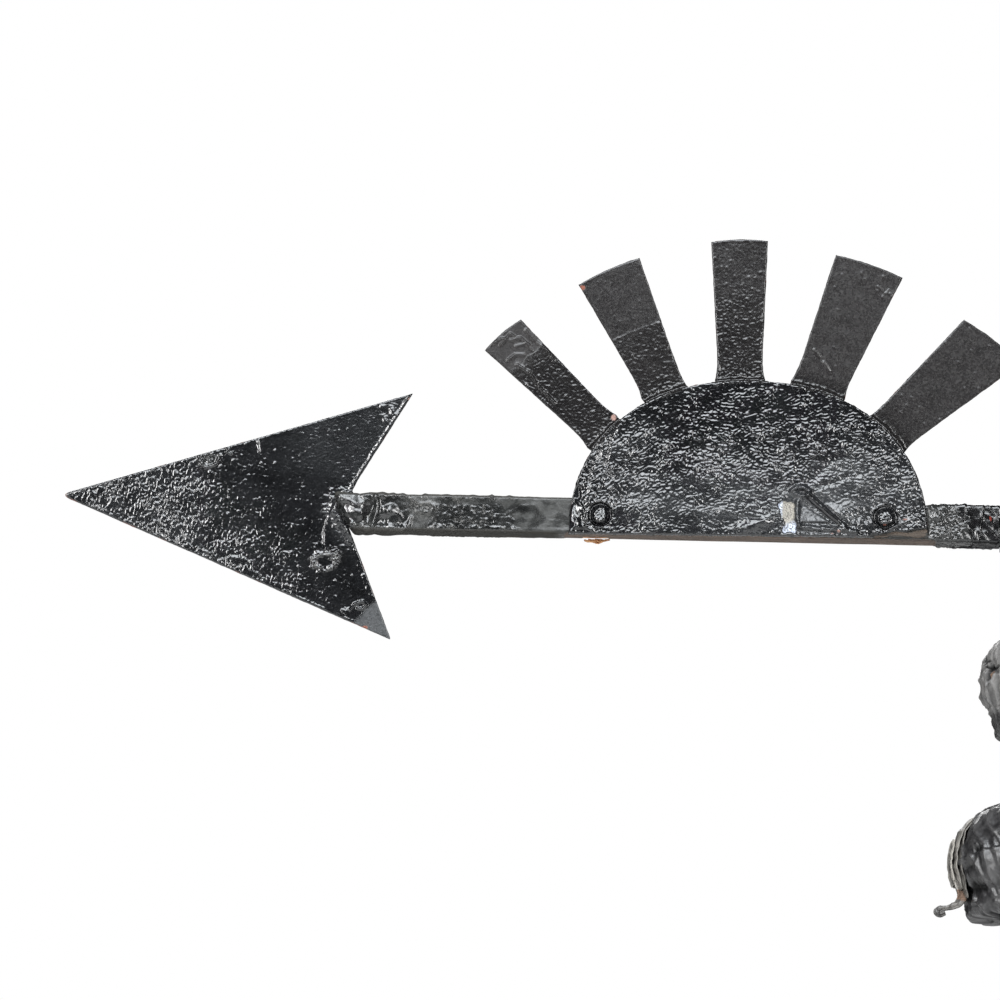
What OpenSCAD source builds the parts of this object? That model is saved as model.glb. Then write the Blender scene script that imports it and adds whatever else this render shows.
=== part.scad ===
// Weathervane: an arrow with a rising sun on a square wooden shaft, turning on a
// spindle that stands on a short pipe mast with a floor flange.
// Frame: Z runs up the spindle, the arrow points to -X, the sun faces -Y, and the
// origin is the middle of the flange's underside.

/* [Shaft] */
// Side of the square wooden shaft
shaft_side = 25.4; // [22:0.1:30]
// Height of the shaft's middle over the flange's underside
shaft_height = 600; // [540:5:720]
// Length of the shaft from the spindle to its arrow end
shaft_front = 501; // [470:1:540]
// Length of the shaft from the spindle to its tail end
shaft_rear = 540; // [520:1:580]
// Slant of the sawn arrow end of the shaft, in degrees
nose_slant = 25; // [0:1:30]

/* [Arrowhead] */
// Length of the arrowhead from its point to the line between its barbs
arrow_length = 241.4; // [220:0.5:260]
// Half of the distance between the two barbs
arrow_half_width = 89.9; // [70:0.1:105]
// How deep the notch at the back of the arrowhead is
arrow_notch = 46.5; // [30:0.5:60]
// Thickness of the arrowhead plate
arrow_thickness = 2; // [1.5:0.1:3]
// How far the arrowhead is canted up from the shaft, in degrees
arrow_cant = 2.5; // [0:0.1:4]
// How much further back the upper barb is cut than the lower one
barb_skew = 2.1; // [0:0.1:4]
// Length of the tang that sits in the shaft's saw cut
tang_length = 62; // [40:1:80]

/* [Sun] */
// Distance from the spindle to the middle of the sun
sun_offset = 205; // [200:1:230]
// Half of the width of the sun's disc
sun_half_width = 128.5; // [125:0.5:132]
// Height of the sun's disc over its straight base
sun_height = 113; // [110:0.5:116]
// How square the disc's outline is: 2 is an ellipse, and more is squarer
sun_squareness = 2.2; // [2:0.1:2.6]
// How far the disc leans to the arrow side, in degrees
sun_lean = 0.5; // [0:0.1:2]
// Thickness of the disc and of its rays
sun_thickness = 2; // [1.5:0.1:3]
// How far each ray runs in behind the disc
ray_tuck = 22; // [16:1:24]
// How far the end of each ray bulges outwards
ray_bulge = 1.6; // [0:0.1:4]

/* [Tail] */
// Length of the tail fin along the shaft
tail_length = 260; // [220:5:300]
// Half of the height of the tail fin
tail_half_height = 118; // [95:1:130]
// How far the tail fin is swept back from the shaft to its outer edge
tail_sweep = 70; // [40:1:100]
// Thickness of the tail fin plate
tail_thickness = 1.5; // [1:0.1:2]

/* [Bearing] */
// Diameter of the spindle that the vane turns on
spindle_d = 16; // [14:0.5:18]
// Outer diameter of the vane's bearing tube
tube_d = 26.7; // [25.7:0.1:28]
// Wall of the bearing tube
tube_wall = 2.9; // [2:0.1:3.2]
// Radial running clearance between the spindle and the bushes
running_gap = 0.06; // [0.02:0.01:0.1]
// Length of the saddle that clasps the shaft
saddle_length = 48; // [46:1:56]
// Thickness of the saddle plate
saddle_plate = 3; // [2:0.5:4]

/* [Mast] */
// Outer diameter of the mast pipe
pipe_d = 33.4; // [32:0.1:36]
// Wall of the mast pipe
pipe_wall = 3.4; // [2.6:0.1:4]
// Diameter of the floor flange
flange_d = 100; // [96:1:120]
// Diameter of the circle that the four flange holes lie on
flange_pcd = 75; // [70:1:80]
// Diameter of each flange hole
flange_hole_d = 7; // [5:0.5:8]

/* [Hidden] */
$fn = 64;

half = shaft_side / 2;
top_z = shaft_height + half;
low_z = shaft_height - half;
face_y = -half;                       // front face of the shaft
disc_y = face_y - sun_thickness;      // front face of the sun's disc
pin_gap = 0.05;                       // between a rivet or bolt and its hole
slot_gap = 0.1;                       // each side of a plate in its saw cut

// Arrowhead: its point, and where its tang and its rivets are
tip = [-693.8, shaft_height + 9.2];
arrow_rivet_x = [-486, -462];
arrow_slot_end = -shaft_front + tang_length + 6;

// Sun: its middle, its bolts, and the corners of its hand-cut rays as
// [root right, root left, tip left, tip right] from the middle of the disc's base
sun_x = -sun_offset;
bolt_at = [[-106, 13.2], [97.7, 15.2]];
rays = [
  [[ -97.6,  84.7], [-114.3,  64.0], [-190.8, 131.3], [-165.5, 154.3]],
  [[ -47.2, 106.8], [ -75.7,  99.6], [-124.6, 180.5], [ -81.4, 201.0]],
  [[   7.7, 113.7], [ -23.1, 113.1], [ -30.1, 213.7], [  10.6, 215.3]],
  [[  65.1, 101.9], [  31.3, 113.5], [  59.4, 206.2], [ 107.6, 190.5]],
  [[ 108.8,  65.1], [  84.1,  85.6], [ 151.9, 161.0], [ 193.3, 130.0]]
];
bolt_d = 6;
nail_d = 3.2;
nail_foot = [69.2, 7.4];              // where the nail comes through the disc
nail_end = [42.5, 29.8];              // where its bent-over point ends

// Tail fin: where its leading point is, and its rivets
tail_x = shaft_rear - 238;
tail_rivet_x = [shaft_rear - 205, shaft_rear - 115, shaft_rear - 25];

// Bearing heights
saddle_low = low_z - saddle_plate;
tube_r = tube_d / 2;
tube_bore_r = tube_r - tube_wall;
spindle_r = spindle_d / 2;
tube_low = shaft_height - 172;
ball_r = 5;
ball_z = saddle_low - 19.3;
spindle_top = ball_z - ball_r - 0.05;
saddle_bolt_x = [-15, 15];
saddle_bolt_z = shaft_height - 2;

// Mast heights
coupling_low = shaft_height - 282;
coupling_top = coupling_low + 74;
coupling_seat = coupling_low + 32;
coupling_r = 22;
pipe_r = pipe_d / 2;
collar_z = shaft_height - 196;

// ---- shapes that repeat ----

// A plate drawn in X and Z, from y0 towards +Y
module plate(y0, t) {
  translate([0, y0 + t, 0]) rotate([90, 0, 0]) linear_extrude(height = t) children();
}

// A round bar along +Y from y0 to y1
module bar_y(x, z, r, y0, y1) {
  translate([x, y0, z]) rotate([-90, 0, 0]) cylinder(h = y1 - y0, r = r);
}

// A domed head of radius r and height h, that stands on the plane y = y0.
// way is -1 for a head that stands out to -Y, and 1 for one to +Y
module dome(x, z, r, h, y0, way) {
  big = (r * r + h * h) / (2 * h);
  intersection() {
    translate([x, y0 - way * (big - h), z]) sphere(r = big);
    bar_y(x, z, r + 1, way < 0 ? y0 - h - 1 : y0, way < 0 ? y0 : y0 + h + 1);
  }
}

// A rivet through the shaft with a dome at each end
module shaft_rivet(x, z, r) {
  bar_y(x, z, r, -half - 0.01, half + 0.01);
  dome(x, z, 2.2 * r, 1.3 * r, -half, -1);
  dome(x, z, 2.2 * r, 1.3 * r, half, 1);
}

// A hexagon along +Y
module hex_y(x, z, flats, y0, y1) {
  translate([x, y0, z]) rotate([-90, 0, 0])
    cylinder(h = y1 - y0, r = flats / sqrt(3), $fn = 6);
}

// ---- rays ----

function unit(v) = v / norm(v);
// The corner that a ray's side reaches behind the disc
function tucked(root, tip_corner, d) = root + unit(root - tip_corner) * d;
// The points of the bulged tip, from its right corner to its left corner
function bulged(a, b, s, n = 6) = [for (i = [0:n])
  let (k = i / n, out = unit([b[1] - a[1], a[0] - b[0]]))
  a + (b - a) * k - out * 4 * s * k * (1 - k)];
function rivet_spot(r, side) =
  let (mid = (r[0] + r[1]) / 2, across = unit(r[0] - r[1]), inward = unit(mid - (r[2] + r[3]) / 2))
  mid + inward * (ray_tuck * 0.55) + across * (side * 7);

module ray(r) {
  difference() {
    plate(face_y, sun_thickness) translate([sun_x, low_z]) polygon(concat(
      [r[0], tucked(r[0], r[3], ray_tuck), tucked(r[1], r[2], ray_tuck), r[1]],
      bulged(r[2], r[3], ray_bulge)));
    for (side = [-1, 1])
      let (p = rivet_spot(r, side))
        bar_y(sun_x + p[0], low_z + p[1], 1.5 + pin_gap, face_y - 1, face_y + sun_thickness + 1);
  }
}

// ---- vane ----

module shaft() {
  color("dimgray")
  difference() {
    translate([-shaft_front, -half, low_z]) cube([shaft_front + shaft_rear, shaft_side, shaft_side]);
    // saw cuts for the arrowhead and for the tail fin
    translate([-shaft_front - 1, -arrow_thickness / 2 - slot_gap, low_z - 1])
      cube([arrow_slot_end + shaft_front + 1, arrow_thickness + 2 * slot_gap, shaft_side + 2]);
    translate([tail_x - 4, -tail_thickness / 2 - slot_gap, low_z - 1])
      cube([shaft_rear - tail_x + 5, tail_thickness + 2 * slot_gap, shaft_side + 2]);
    // the nose is sawn off at a slant, so that its top reaches further forward
    translate([-shaft_front + half * tan(nose_slant), 0, shaft_height]) rotate([0, -nose_slant, 0])
      translate([-40, -half - 1, -40]) cube([40, shaft_side + 2, 80]);
    for (x = arrow_rivet_x) bar_y(x, shaft_height, 2 + pin_gap, -half - 1, half + 1);
    for (x = tail_rivet_x) bar_y(x, shaft_height, 2 + pin_gap, -half - 1, half + 1);
    for (b = bolt_at) bar_y(sun_x + b[0], low_z + b[1], bolt_d / 2 + pin_gap, -half - 1, half + 1);
    for (x = saddle_bolt_x) bar_y(x, saddle_bolt_z, bolt_d / 2 + pin_gap, -half - 1, half + 1);
    bar_y(sun_x + nail_foot[0], low_z + nail_foot[1], nail_d / 2 + pin_gap, -half - 1, half + 1);
  }
}

module arrowhead() {
  color("#202224")
  difference() {
    union() {
      plate(-arrow_thickness / 2, arrow_thickness) {
        translate(tip) rotate(-arrow_cant) polygon([
          [0, 0],
          [arrow_length + barb_skew, arrow_half_width],
          [arrow_length - arrow_notch, 0],
          [arrow_length - barb_skew, -arrow_half_width]]);
      }
      // the tang in the saw cut
      plate(-arrow_thickness / 2, arrow_thickness)
        translate([-shaft_front - 4, shaft_height - 10.5]) square([tang_length + 8, 21]);
    }
    for (x = arrow_rivet_x)
      bar_y(x, shaft_height, 2 + pin_gap, -arrow_thickness, arrow_thickness);
  }
}

module arrowhead_rivets() {
  color("#2a2c2e") for (x = arrow_rivet_x) shaft_rivet(x, shaft_height, 2);
}

module disc_outline(n = 72) {
  polygon([for (i = [0:n])
    let (a = 180 * i / n, p = 2 / sun_squareness)
    [sun_half_width * sign(cos(a)) * pow(abs(cos(a)), p), sun_height * pow(abs(sin(a)), p)]]);
}

module sun_disc() {
  color("#242628")
  difference() {
    plate(disc_y, sun_thickness) translate([sun_x, low_z]) rotate(sun_lean) disc_outline();
    for (b = bolt_at)
      translate([sun_x + b[0] - 3.1, disc_y - 1, low_z + b[1] - 3.1]) cube([6.2, sun_thickness + 2, 6.2]);
    for (r = rays, side = [-1, 1])
      let (p = rivet_spot(r, side))
        bar_y(sun_x + p[0], low_z + p[1], 1.5 + pin_gap, disc_y - 1, face_y + 1);
    bar_y(sun_x + nail_foot[0], low_z + nail_foot[1], nail_d / 2 + pin_gap, disc_y - 1, face_y + 1);
  }
}

module sun_ray_1() { color("#2c2e30") ray(rays[0]); }
module sun_ray_2() { color("#2c2e30") ray(rays[1]); }
module sun_ray_3() { color("#2c2e30") ray(rays[2]); }
module sun_ray_4() { color("#3a3c3e") ray(rays[3]); }
module sun_ray_5() { color("#3a3c3e") ray(rays[4]); }

// Small rivets, filed flush on the disc's face, with a domed head behind the rays
module ray_rivets() {
  color("#3a3c3e")
  for (r = rays, side = [-1, 1])
    let (p = rivet_spot(r, side), x = sun_x + p[0], z = low_z + p[1]) {
      bar_y(x, z, 1.5, disc_y, face_y + sun_thickness + 0.01);
      dome(x, z, 3, 1.8, face_y + sun_thickness, 1);
    }
}

// Coach bolts: a dome, a square neck in the disc, and a shank through the shaft
module sun_bolts() {
  color("#303234")
  for (b = bolt_at) {
    x = sun_x + b[0];
    z = low_z + b[1];
    dome(x, z, 7.5, 3.4, disc_y, -1);
    translate([x - 3, disc_y - 0.01, z - 3]) cube([6, sun_thickness - 0.2, 6]);
    bar_y(x, z, bolt_d / 2, disc_y, half + 9);
  }
}

module sun_washers() {
  color("silver")
  for (b = bolt_at) difference() {
    bar_y(sun_x + b[0], low_z + b[1], 9, half, half + 1.6);
    bar_y(sun_x + b[0], low_z + b[1], bolt_d / 2 + 0.2, half - 1, half + 3);
  }
}

module nut(x, z, y0) {
  difference() {
    intersection() {
      hex_y(x, z, 10, y0, y0 + 5);
      // the corners are turned off
      translate([x, y0 + 2.5, z]) sphere(r = 5.8);
    }
    bar_y(x, z, bolt_d / 2 + pin_gap, y0 - 1, y0 + 6);
  }
}

module sun_nuts() {
  color("darkgray") for (b = bolt_at) nut(sun_x + b[0], low_z + b[1], half + 1.6);
}

// A long nail driven from behind, with its point bent over on the disc's face
module clinched_nail() {
  x = sun_x + nail_foot[0];
  z = low_z + nail_foot[1];
  run = nail_end - nail_foot;
  y = disc_y - nail_d / 2 - 0.05;
  color("#303234") {
    bar_y(x, z, 4, half, half + 1.3);
    bar_y(x, z, nail_d / 2, y, half + 0.5);
    translate([x, y, z]) sphere(r = nail_d / 2);
    translate([x, y, z]) rotate([0, atan2(run[0], run[1]), 0])
      rotate_extrude() polygon([[0, 0], [nail_d / 2, 0], [nail_d / 2, norm(run) - 5], [0.3, norm(run)], [0, norm(run)]]);
  }
}

module tail_fin() {
  color("#2c2e30")
  difference() {
    plate(-tail_thickness / 2, tail_thickness) translate([tail_x, shaft_height]) polygon([
      [0, 0], [tail_sweep, tail_half_height], [tail_sweep + tail_length, tail_half_height],
      [tail_length, 0], [tail_sweep + tail_length, -tail_half_height], [tail_sweep, -tail_half_height]]);
    for (x = tail_rivet_x) bar_y(x, shaft_height, 2 + pin_gap, -tail_thickness, tail_thickness);
  }
}

module tail_rivets() {
  color("#2a2c2e") for (x = tail_rivet_x) shaft_rivet(x, shaft_height, 2);
}

// ---- bearing, on the vane's side ----

// A U of plate that the shaft lies in
module saddle() {
  color("#303234")
  difference() {
    translate([-saddle_length / 2, -half - 0.1 - saddle_plate, saddle_low])
      cube([saddle_length, shaft_side + 0.2 + 2 * saddle_plate, saddle_plate + 19]);
    translate([-saddle_length / 2 - 1, -half - 0.1, low_z])
      cube([saddle_length + 2, shaft_side + 0.2, 40]);
    for (x = saddle_bolt_x)
      bar_y(x, saddle_bolt_z, bolt_d / 2 + pin_gap, -half - 10, half + 10);
  }
}

module saddle_bolts() {
  out = half + 0.1 + saddle_plate;
  color("#3a3c3e")
  for (x = saddle_bolt_x) {
    hex_y(x, saddle_bolt_z, 10, -out - 4, -out);
    bar_y(x, saddle_bolt_z, bolt_d / 2, -out - 0.01, out + 7);
  }
}

module saddle_nuts() {
  color("darkgray") for (x = saddle_bolt_x) nut(x, saddle_bolt_z, half + 0.1 + saddle_plate);
}

module rotor_tube() {
  color("#2c2e30")
  difference() {
    translate([0, 0, tube_low]) cylinder(h = saddle_low - tube_low, r = tube_r);
    translate([0, 0, tube_low - 1]) cylinder(h = saddle_low - tube_low + 2, r = tube_bore_r);
  }
}

module tube_plug() {
  color("gray")
  difference() {
    translate([0, 0, ball_z + 1.2]) cylinder(h = saddle_low - ball_z - 1.2, r = tube_bore_r - 0.05);
    translate([0, 0, ball_z]) sphere(r = ball_r + 0.05);
  }
}

module thrust_ball() {
  color("lightgray") translate([0, 0, ball_z]) sphere(r = ball_r);
}

module upper_bush() {
  color("goldenrod")
  difference() {
    translate([0, 0, ball_z - 33]) cylinder(h = 22, r = tube_bore_r - 0.05);
    translate([0, 0, ball_z - 34]) cylinder(h = 24, r = spindle_r + running_gap);
  }
}

module lower_bush() {
  color("goldenrod")
  difference() {
    union() {
      translate([0, 0, tube_low]) cylinder(h = 26, r = tube_bore_r - 0.05);
      translate([0, 0, tube_low - 3.5]) cylinder(h = 3.5, r = tube_r);
    }
    translate([0, 0, tube_low - 5]) cylinder(h = 40, r = spindle_r + running_gap);
  }
}

// Cloth tape round the shaft at each end of the saddle
module shaft_wraps() {
  color("#2c2c2c")
  for (side = [-1, 1]) {
    x0 = side < 0 ? -60 : saddle_length / 2 + 0.3;
    w = 60 - saddle_length / 2 - 0.3;
    difference() {
      translate([x0, -half - 1.4, low_z - 1.4]) cube([w, shaft_side + 2.8, shaft_side + 2.8]);
      translate([x0 - 1, -half - 0.05, low_z - 0.05]) cube([w + 2, shaft_side + 0.1, shaft_side + 0.1]);
    }
  }
}

// Tarred cloth bound round the bearing tube
module upper_wrap() {
  z = shaft_height;
  r = tube_r + 0.05;
  color("#3c3c3c")
  rotate_extrude() polygon([
    [r, z - 154], [24, z - 154], [28, z - 151], [30, z - 145], [31, z - 134],
    [35, z - 127], [38, z - 118], [38.5, z - 106], [37.5, z - 98], [35, z - 92],
    [31, z - 87], [25, z - 82], [r, z - 81]]);
}

// ---- mast ----

module spindle() {
  c = 1.5;
  color("silver")
  rotate_extrude() polygon([
    [0, coupling_seat + 0.5], [spindle_r - c, coupling_seat + 0.5], [spindle_r, coupling_seat + 0.5 + c],
    [spindle_r, spindle_top - c], [spindle_r - c, spindle_top], [0, spindle_top]]);
}

module drip_collar() {
  color("dimgray")
  difference() {
    rotate_extrude() polygon([
      [spindle_r + 0.02, collar_z], [15.2, collar_z], [16, collar_z + 0.8], [16, collar_z + 9.2],
      [15.2, collar_z + 10], [spindle_r + 0.02, collar_z + 10]]);
    bar_y(0, collar_z + 5, 2.5 + pin_gap, 6, 20);
  }
}

module grub_screw() {
  color("black")
  difference() {
    bar_y(0, collar_z + 5, 2.5, spindle_r + 0.03, 15.4);
    hex_y(0, collar_z + 5, 2.5, 12.6, 16);
  }
}

module reducer_coupling() {
  color("gray")
  difference() {
    rotate_extrude() polygon([
      [0, coupling_low], [coupling_r - 1, coupling_low], [coupling_r, coupling_low + 1],
      [coupling_r, coupling_top - 22], [14, coupling_top - 10], [14, coupling_top], [0, coupling_top]]);
    translate([0, 0, coupling_low - 1]) cylinder(h = coupling_seat - coupling_low + 1, r = pipe_r + 0.05);
    translate([0, 0, coupling_low]) cylinder(h = 100, r = spindle_r + 0.02);
  }
}

// Tarred cloth bound round the coupling, with a flared foot
module lower_wrap() {
  z = shaft_height;
  r = coupling_r + 0.1;
  color("#3c3c3c")
  rotate_extrude() polygon([
    [pipe_r + 0.1, z - 290], [40, z - 290], [46, z - 287], [49, z - 279], [51, z - 270],
    [54, z - 260], [56, z - 246], [55, z - 233], [51, z - 221], [46, z - 214],
    [40, z - 208], [31, z - 203], [24, z - 199.6], [spindle_r + 0.1, z - 199.6],
    [spindle_r + 0.1, coupling_top + 0.1], [14.1, coupling_top + 0.1], [14.1, coupling_top - 9.95],
    [r, coupling_top - 21.9], [r, coupling_low - 0.1], [pipe_r + 0.1, coupling_low - 0.1]]);
}

module mast_pipe() {
  color("#303234")
  difference() {
    translate([0, 0, 4]) cylinder(h = coupling_seat - 4.5, r = pipe_r);
    translate([0, 0, 3]) cylinder(h = coupling_seat, r = pipe_r - pipe_wall);
  }
}

module floor_flange() {
  color("#2c2e30")
  difference() {
    rotate_extrude() polygon([
      [12, 0], [flange_d / 2, 0], [flange_d / 2, 5], [flange_d / 2 - 1, 6], [26, 7.5],
      [24, 10], [23, 27], [22, 28], [12, 28]]);
    translate([0, 0, 4]) cylinder(h = 40, r = pipe_r + 0.05);
    for (a = [45:90:315]) rotate(a) translate([flange_pcd / 2, 0, -1]) cylinder(h = 20, r = flange_hole_d / 2);
  }
}

shaft();
arrowhead();
arrowhead_rivets();
sun_disc();
sun_ray_1();
sun_ray_2();
sun_ray_3();
sun_ray_4();
sun_ray_5();
ray_rivets();
sun_bolts();
sun_washers();
sun_nuts();
clinched_nail();
tail_fin();
tail_rivets();
saddle();
saddle_bolts();
saddle_nuts();
rotor_tube();
tube_plug();
thrust_ball();
upper_bush();
lower_bush();
shaft_wraps();
upper_wrap();
spindle();
drip_collar();
grub_screw();
reducer_coupling();
lower_wrap();
mast_pipe();
floor_flange();
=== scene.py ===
import math

import bpy
import numpy as np
from mathutils import Matrix, Vector
from mathutils.geometry import delaunay_2d_cdt


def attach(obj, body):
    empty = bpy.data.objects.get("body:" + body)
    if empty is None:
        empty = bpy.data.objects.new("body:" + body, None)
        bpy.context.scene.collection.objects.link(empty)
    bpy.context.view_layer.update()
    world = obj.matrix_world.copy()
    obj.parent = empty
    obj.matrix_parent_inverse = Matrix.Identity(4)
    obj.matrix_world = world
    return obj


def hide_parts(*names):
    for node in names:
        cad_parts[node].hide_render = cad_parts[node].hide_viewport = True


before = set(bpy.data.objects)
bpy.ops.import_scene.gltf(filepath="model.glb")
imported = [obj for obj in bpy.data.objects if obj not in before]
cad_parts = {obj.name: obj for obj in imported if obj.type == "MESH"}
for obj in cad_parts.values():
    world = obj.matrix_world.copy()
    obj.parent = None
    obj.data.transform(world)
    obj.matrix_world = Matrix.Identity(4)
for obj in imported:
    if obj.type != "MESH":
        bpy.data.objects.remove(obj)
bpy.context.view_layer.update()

MM = 0.001
BAR_Z = 600.0      # height of the shaft's middle, mm
HALF = 12.7        # half of the shaft's side, mm
LOW_Z = BAR_Z - HALF
SUN_X = -205.0     # middle of the sun, mm


# ---------------------------------------------------------------- noise

def _hash(i, j, k, seed):
    with np.errstate(over="ignore"):
        h = (
            i.astype(np.uint32) * np.uint32(374761393)
            ^ j.astype(np.uint32) * np.uint32(668265263)
            ^ k.astype(np.uint32) * np.uint32(2246822519)
            ^ np.uint32((seed * 40503 + 977) % 4294967291)
        )
        h = (h ^ (h >> np.uint32(15))) * np.uint32(2246822519)
        h = (h ^ (h >> np.uint32(13))) * np.uint32(3266489917)
        return h ^ (h >> np.uint32(16))


_G = np.array(
    [(1, 1, 0), (-1, 1, 0), (1, -1, 0), (-1, -1, 0), (1, 0, 1), (-1, 0, 1), (1, 0, -1), (-1, 0, -1),
     (0, 1, 1), (0, -1, 1), (0, 1, -1), (0, -1, -1), (1, 1, 0), (-1, 1, 0), (0, -1, 1), (0, -1, -1)], float)


def perlin3(x, y, z, seed=0):
    """Smooth noise, about -1 to 1."""
    x, y, z = np.broadcast_arrays(np.asarray(x, float), np.asarray(y, float), np.asarray(z, float))
    shape = x.shape
    x, y, z = x.ravel(), y.ravel(), z.ravel()
    i, j, k = (np.floor(a).astype(np.int64) for a in (x, y, z))
    fx, fy, fz = x - i, y - j, z - k
    u, v, w = (f * f * f * (f * (f * 6 - 15) + 10) for f in (fx, fy, fz))
    out = np.zeros_like(x)
    for dx in (0, 1):
        for dy in (0, 1):
            for dz in (0, 1):
                g = _G[_hash(i + dx, j + dy, k + dz, seed) & np.uint32(15)]
                d = g[:, 0] * (fx - dx) + g[:, 1] * (fy - dy) + g[:, 2] * (fz - dz)
                out += (u if dx else 1 - u) * (v if dy else 1 - v) * (w if dz else 1 - w) * d
    return (out * 1.15).reshape(shape)


def n2(x, z, sx, sz=None, seed=0):
    return perlin3(np.asarray(x) / sx, np.full_like(np.asarray(x, float), 0.37 + seed * 0.618), np.asarray(z) / (sz or sx), seed)


def billow(x, z, sx, sz=None, seed=0):
    """Rounded lumps with sharp valleys between them, 0 to 1."""
    return np.clip(np.abs(n2(x, z, sx, sz, seed)) * 2.1, 0, 1)


def pebbles(x, z, sx, sz, seed, sag=0.0):
    """Wrinkled paint: rounded pebbles with dark creases between them, their tops pulled down by sag mm."""
    def f(a, b):
        return 0.62 * billow(a, b, sx, sz, seed) ** 0.75 + 0.38 * (0.5 + 0.5 * n2(a, b, sx * 0.8, sz * 0.8, seed + 1))
    first = f(x, z)
    return f(x, z + sag * first) if sag else first


def ridge(x, z, sx, sz=None, seed=0):
    """Sharp crests with rounded valleys between them, 0 to 1."""
    return 1 - billow(x, z, sx, sz, seed)


def fbm(x, z, s, octaves=3, seed=0):
    out, a, t = 0, 1.0, 0.0
    for o in range(octaves):
        out = out + a * n2(x, z, s / 2.03**o, None, seed + 17 * o)
        t += a
        a *= 0.5
    return out / t


def cells(x, z, size, seed=0):
    """Distance to the nearest and the second nearest scattered point, in units of size, and the nearest one's random number."""
    x, z = np.asarray(x, float) / size, np.asarray(z, float) / size
    i, j = np.floor(x).astype(np.int64), np.floor(z).astype(np.int64)
    f1 = np.full(x.shape, 9.0)
    f2 = np.full(x.shape, 9.0)
    who = np.zeros(x.shape)
    for di in (-1, 0, 1):
        for dj in (-1, 0, 1):
            h = _hash(i + di, j + dj, np.zeros_like(i) + 5, seed)
            px = i + di + (h & np.uint32(1023)) / 1023.0
            pz = j + dj + ((h >> np.uint32(10)) & np.uint32(1023)) / 1023.0
            r = ((h >> np.uint32(20)) & np.uint32(1023)) / 1023.0
            d = np.hypot(x - px, z - pz)
            near = d < f1
            f2 = np.where(near, f1, np.minimum(f2, d))
            who = np.where(near, r, who)
            f1 = np.where(near, d, f1)
    return f1, f2, who


def sm(a, b, x):
    t = np.clip((np.asarray(x, float) - a) / (b - a), 0, 1)
    return t * t * (3 - 2 * t)


def blob(x, z, cx, cz, rx, rz=None, turn=0.0):
    c, s = math.cos(math.radians(turn)), math.sin(math.radians(turn))
    u, v = (x - cx) * c + (z - cz) * s, -(x - cx) * s + (z - cz) * c
    return np.exp(-((u / rx) ** 2 + (v / (rz or rx)) ** 2))


def line_dist(x, z, pts, closed=False):
    """Distance in mm from each point to a line through pts."""
    x, z = np.asarray(x, float), np.asarray(z, float)
    best = np.full(x.shape, 1e9)
    pts = [tuple(p) for p in pts]
    for a, b in zip(pts, pts[1:] + ([pts[0]] if closed else [])):
        if a == b:
            continue
        dx, dz = b[0] - a[0], b[1] - a[1]
        t = np.clip(((x - a[0]) * dx + (z - a[1]) * dz) / (dx * dx + dz * dz), 0, 1)
        best = np.minimum(best, np.hypot(x - a[0] - t * dx, z - a[1] - t * dz))
    return best


def welt(x, z, pts, width):
    """A rounded ridge along a line, 0 to 1."""
    return np.exp(-((line_dist(x, z, pts) / width) ** 2))


def inside(x, z, poly):
    x, z = np.asarray(x, float), np.asarray(z, float)
    odd = np.zeros(x.shape, bool)
    n = len(poly)
    for i in range(n):
        (ax, az), (bx, bz) = poly[i], poly[(i + 1) % n]
        cross = (az > z) != (bz > z)
        with np.errstate(divide="ignore", invalid="ignore"):
            at = (bx - ax) * (z - az) / (bz - az if bz != az else 1e-12) + ax
        odd ^= cross & (x < at)
    return odd


# ---------------------------------------------------------------- meshes

def make(name, verts, faces, mat, attrs=None, smooth=True):
    """A mesh object from points in mm, a list of triangle and quad arrays, and one number for each point and attribute."""
    verts = np.asarray(verts, float) * MM
    groups = [np.asarray(f, np.int64) for f in faces if len(f)]
    me = bpy.data.meshes.new(name)
    me.vertices.add(len(verts))
    me.vertices.foreach_set("co", verts.astype(np.float32).ravel())
    flat = np.concatenate([g.ravel() for g in groups])
    totals = np.concatenate([np.full(len(g), g.shape[1]) for g in groups])
    starts = np.concatenate([[0], np.cumsum(totals)[:-1]])
    me.loops.add(len(flat))
    me.loops.foreach_set("vertex_index", flat.astype(np.int32))
    me.polygons.add(len(totals))
    me.polygons.foreach_set("loop_start", starts.astype(np.int32))
    me.polygons.foreach_set("use_smooth", np.full(len(totals), smooth))
    for key, values in (attrs or {}).items():
        a = me.attributes.new(key, "FLOAT", "POINT")
        a.data.foreach_set("value", np.clip(np.broadcast_to(values, (len(verts),)), 0, 1).astype(np.float32))
    me.update(calc_edges=True)
    me.validate()
    me.materials.append(mat)
    o = bpy.data.objects.new(name, me)
    bpy.context.scene.collection.objects.link(o)
    return o


def dense(poly, step):
    out = []
    n = len(poly)
    for i in range(n):
        a, b = np.array(poly[i], float), np.array(poly[(i + 1) % n], float)
        k = max(1, int(math.ceil(np.linalg.norm(b - a) / step)))
        out += [a + (b - a) * j / k for j in range(k)]
    return np.array(out)


def rounded(poly, radii, n=6):
    """poly with each corner rounded to its radius."""
    out = []
    m = len(poly)
    for i in range(m):
        p = np.array(poly[i], float)
        r = radii[i] if hasattr(radii, "__len__") else radii
        a, b = np.array(poly[i - 1], float), np.array(poly[(i + 1) % m], float)
        if r <= 0:
            out.append(p)
            continue
        ua, ub = (a - p) / np.linalg.norm(a - p), (b - p) / np.linalg.norm(b - p)
        half = math.acos(max(-1, min(1, float(ua @ ub)))) / 2
        t = min(r / math.tan(half), 0.45 * np.linalg.norm(a - p), 0.45 * np.linalg.norm(b - p))
        s, e = p + ua * t, p + ub * t
        for k in range(n + 1):
            w = k / n
            out.append((1 - w) ** 2 * s + 2 * w * (1 - w) * p + w * w * e)
    return out


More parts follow.
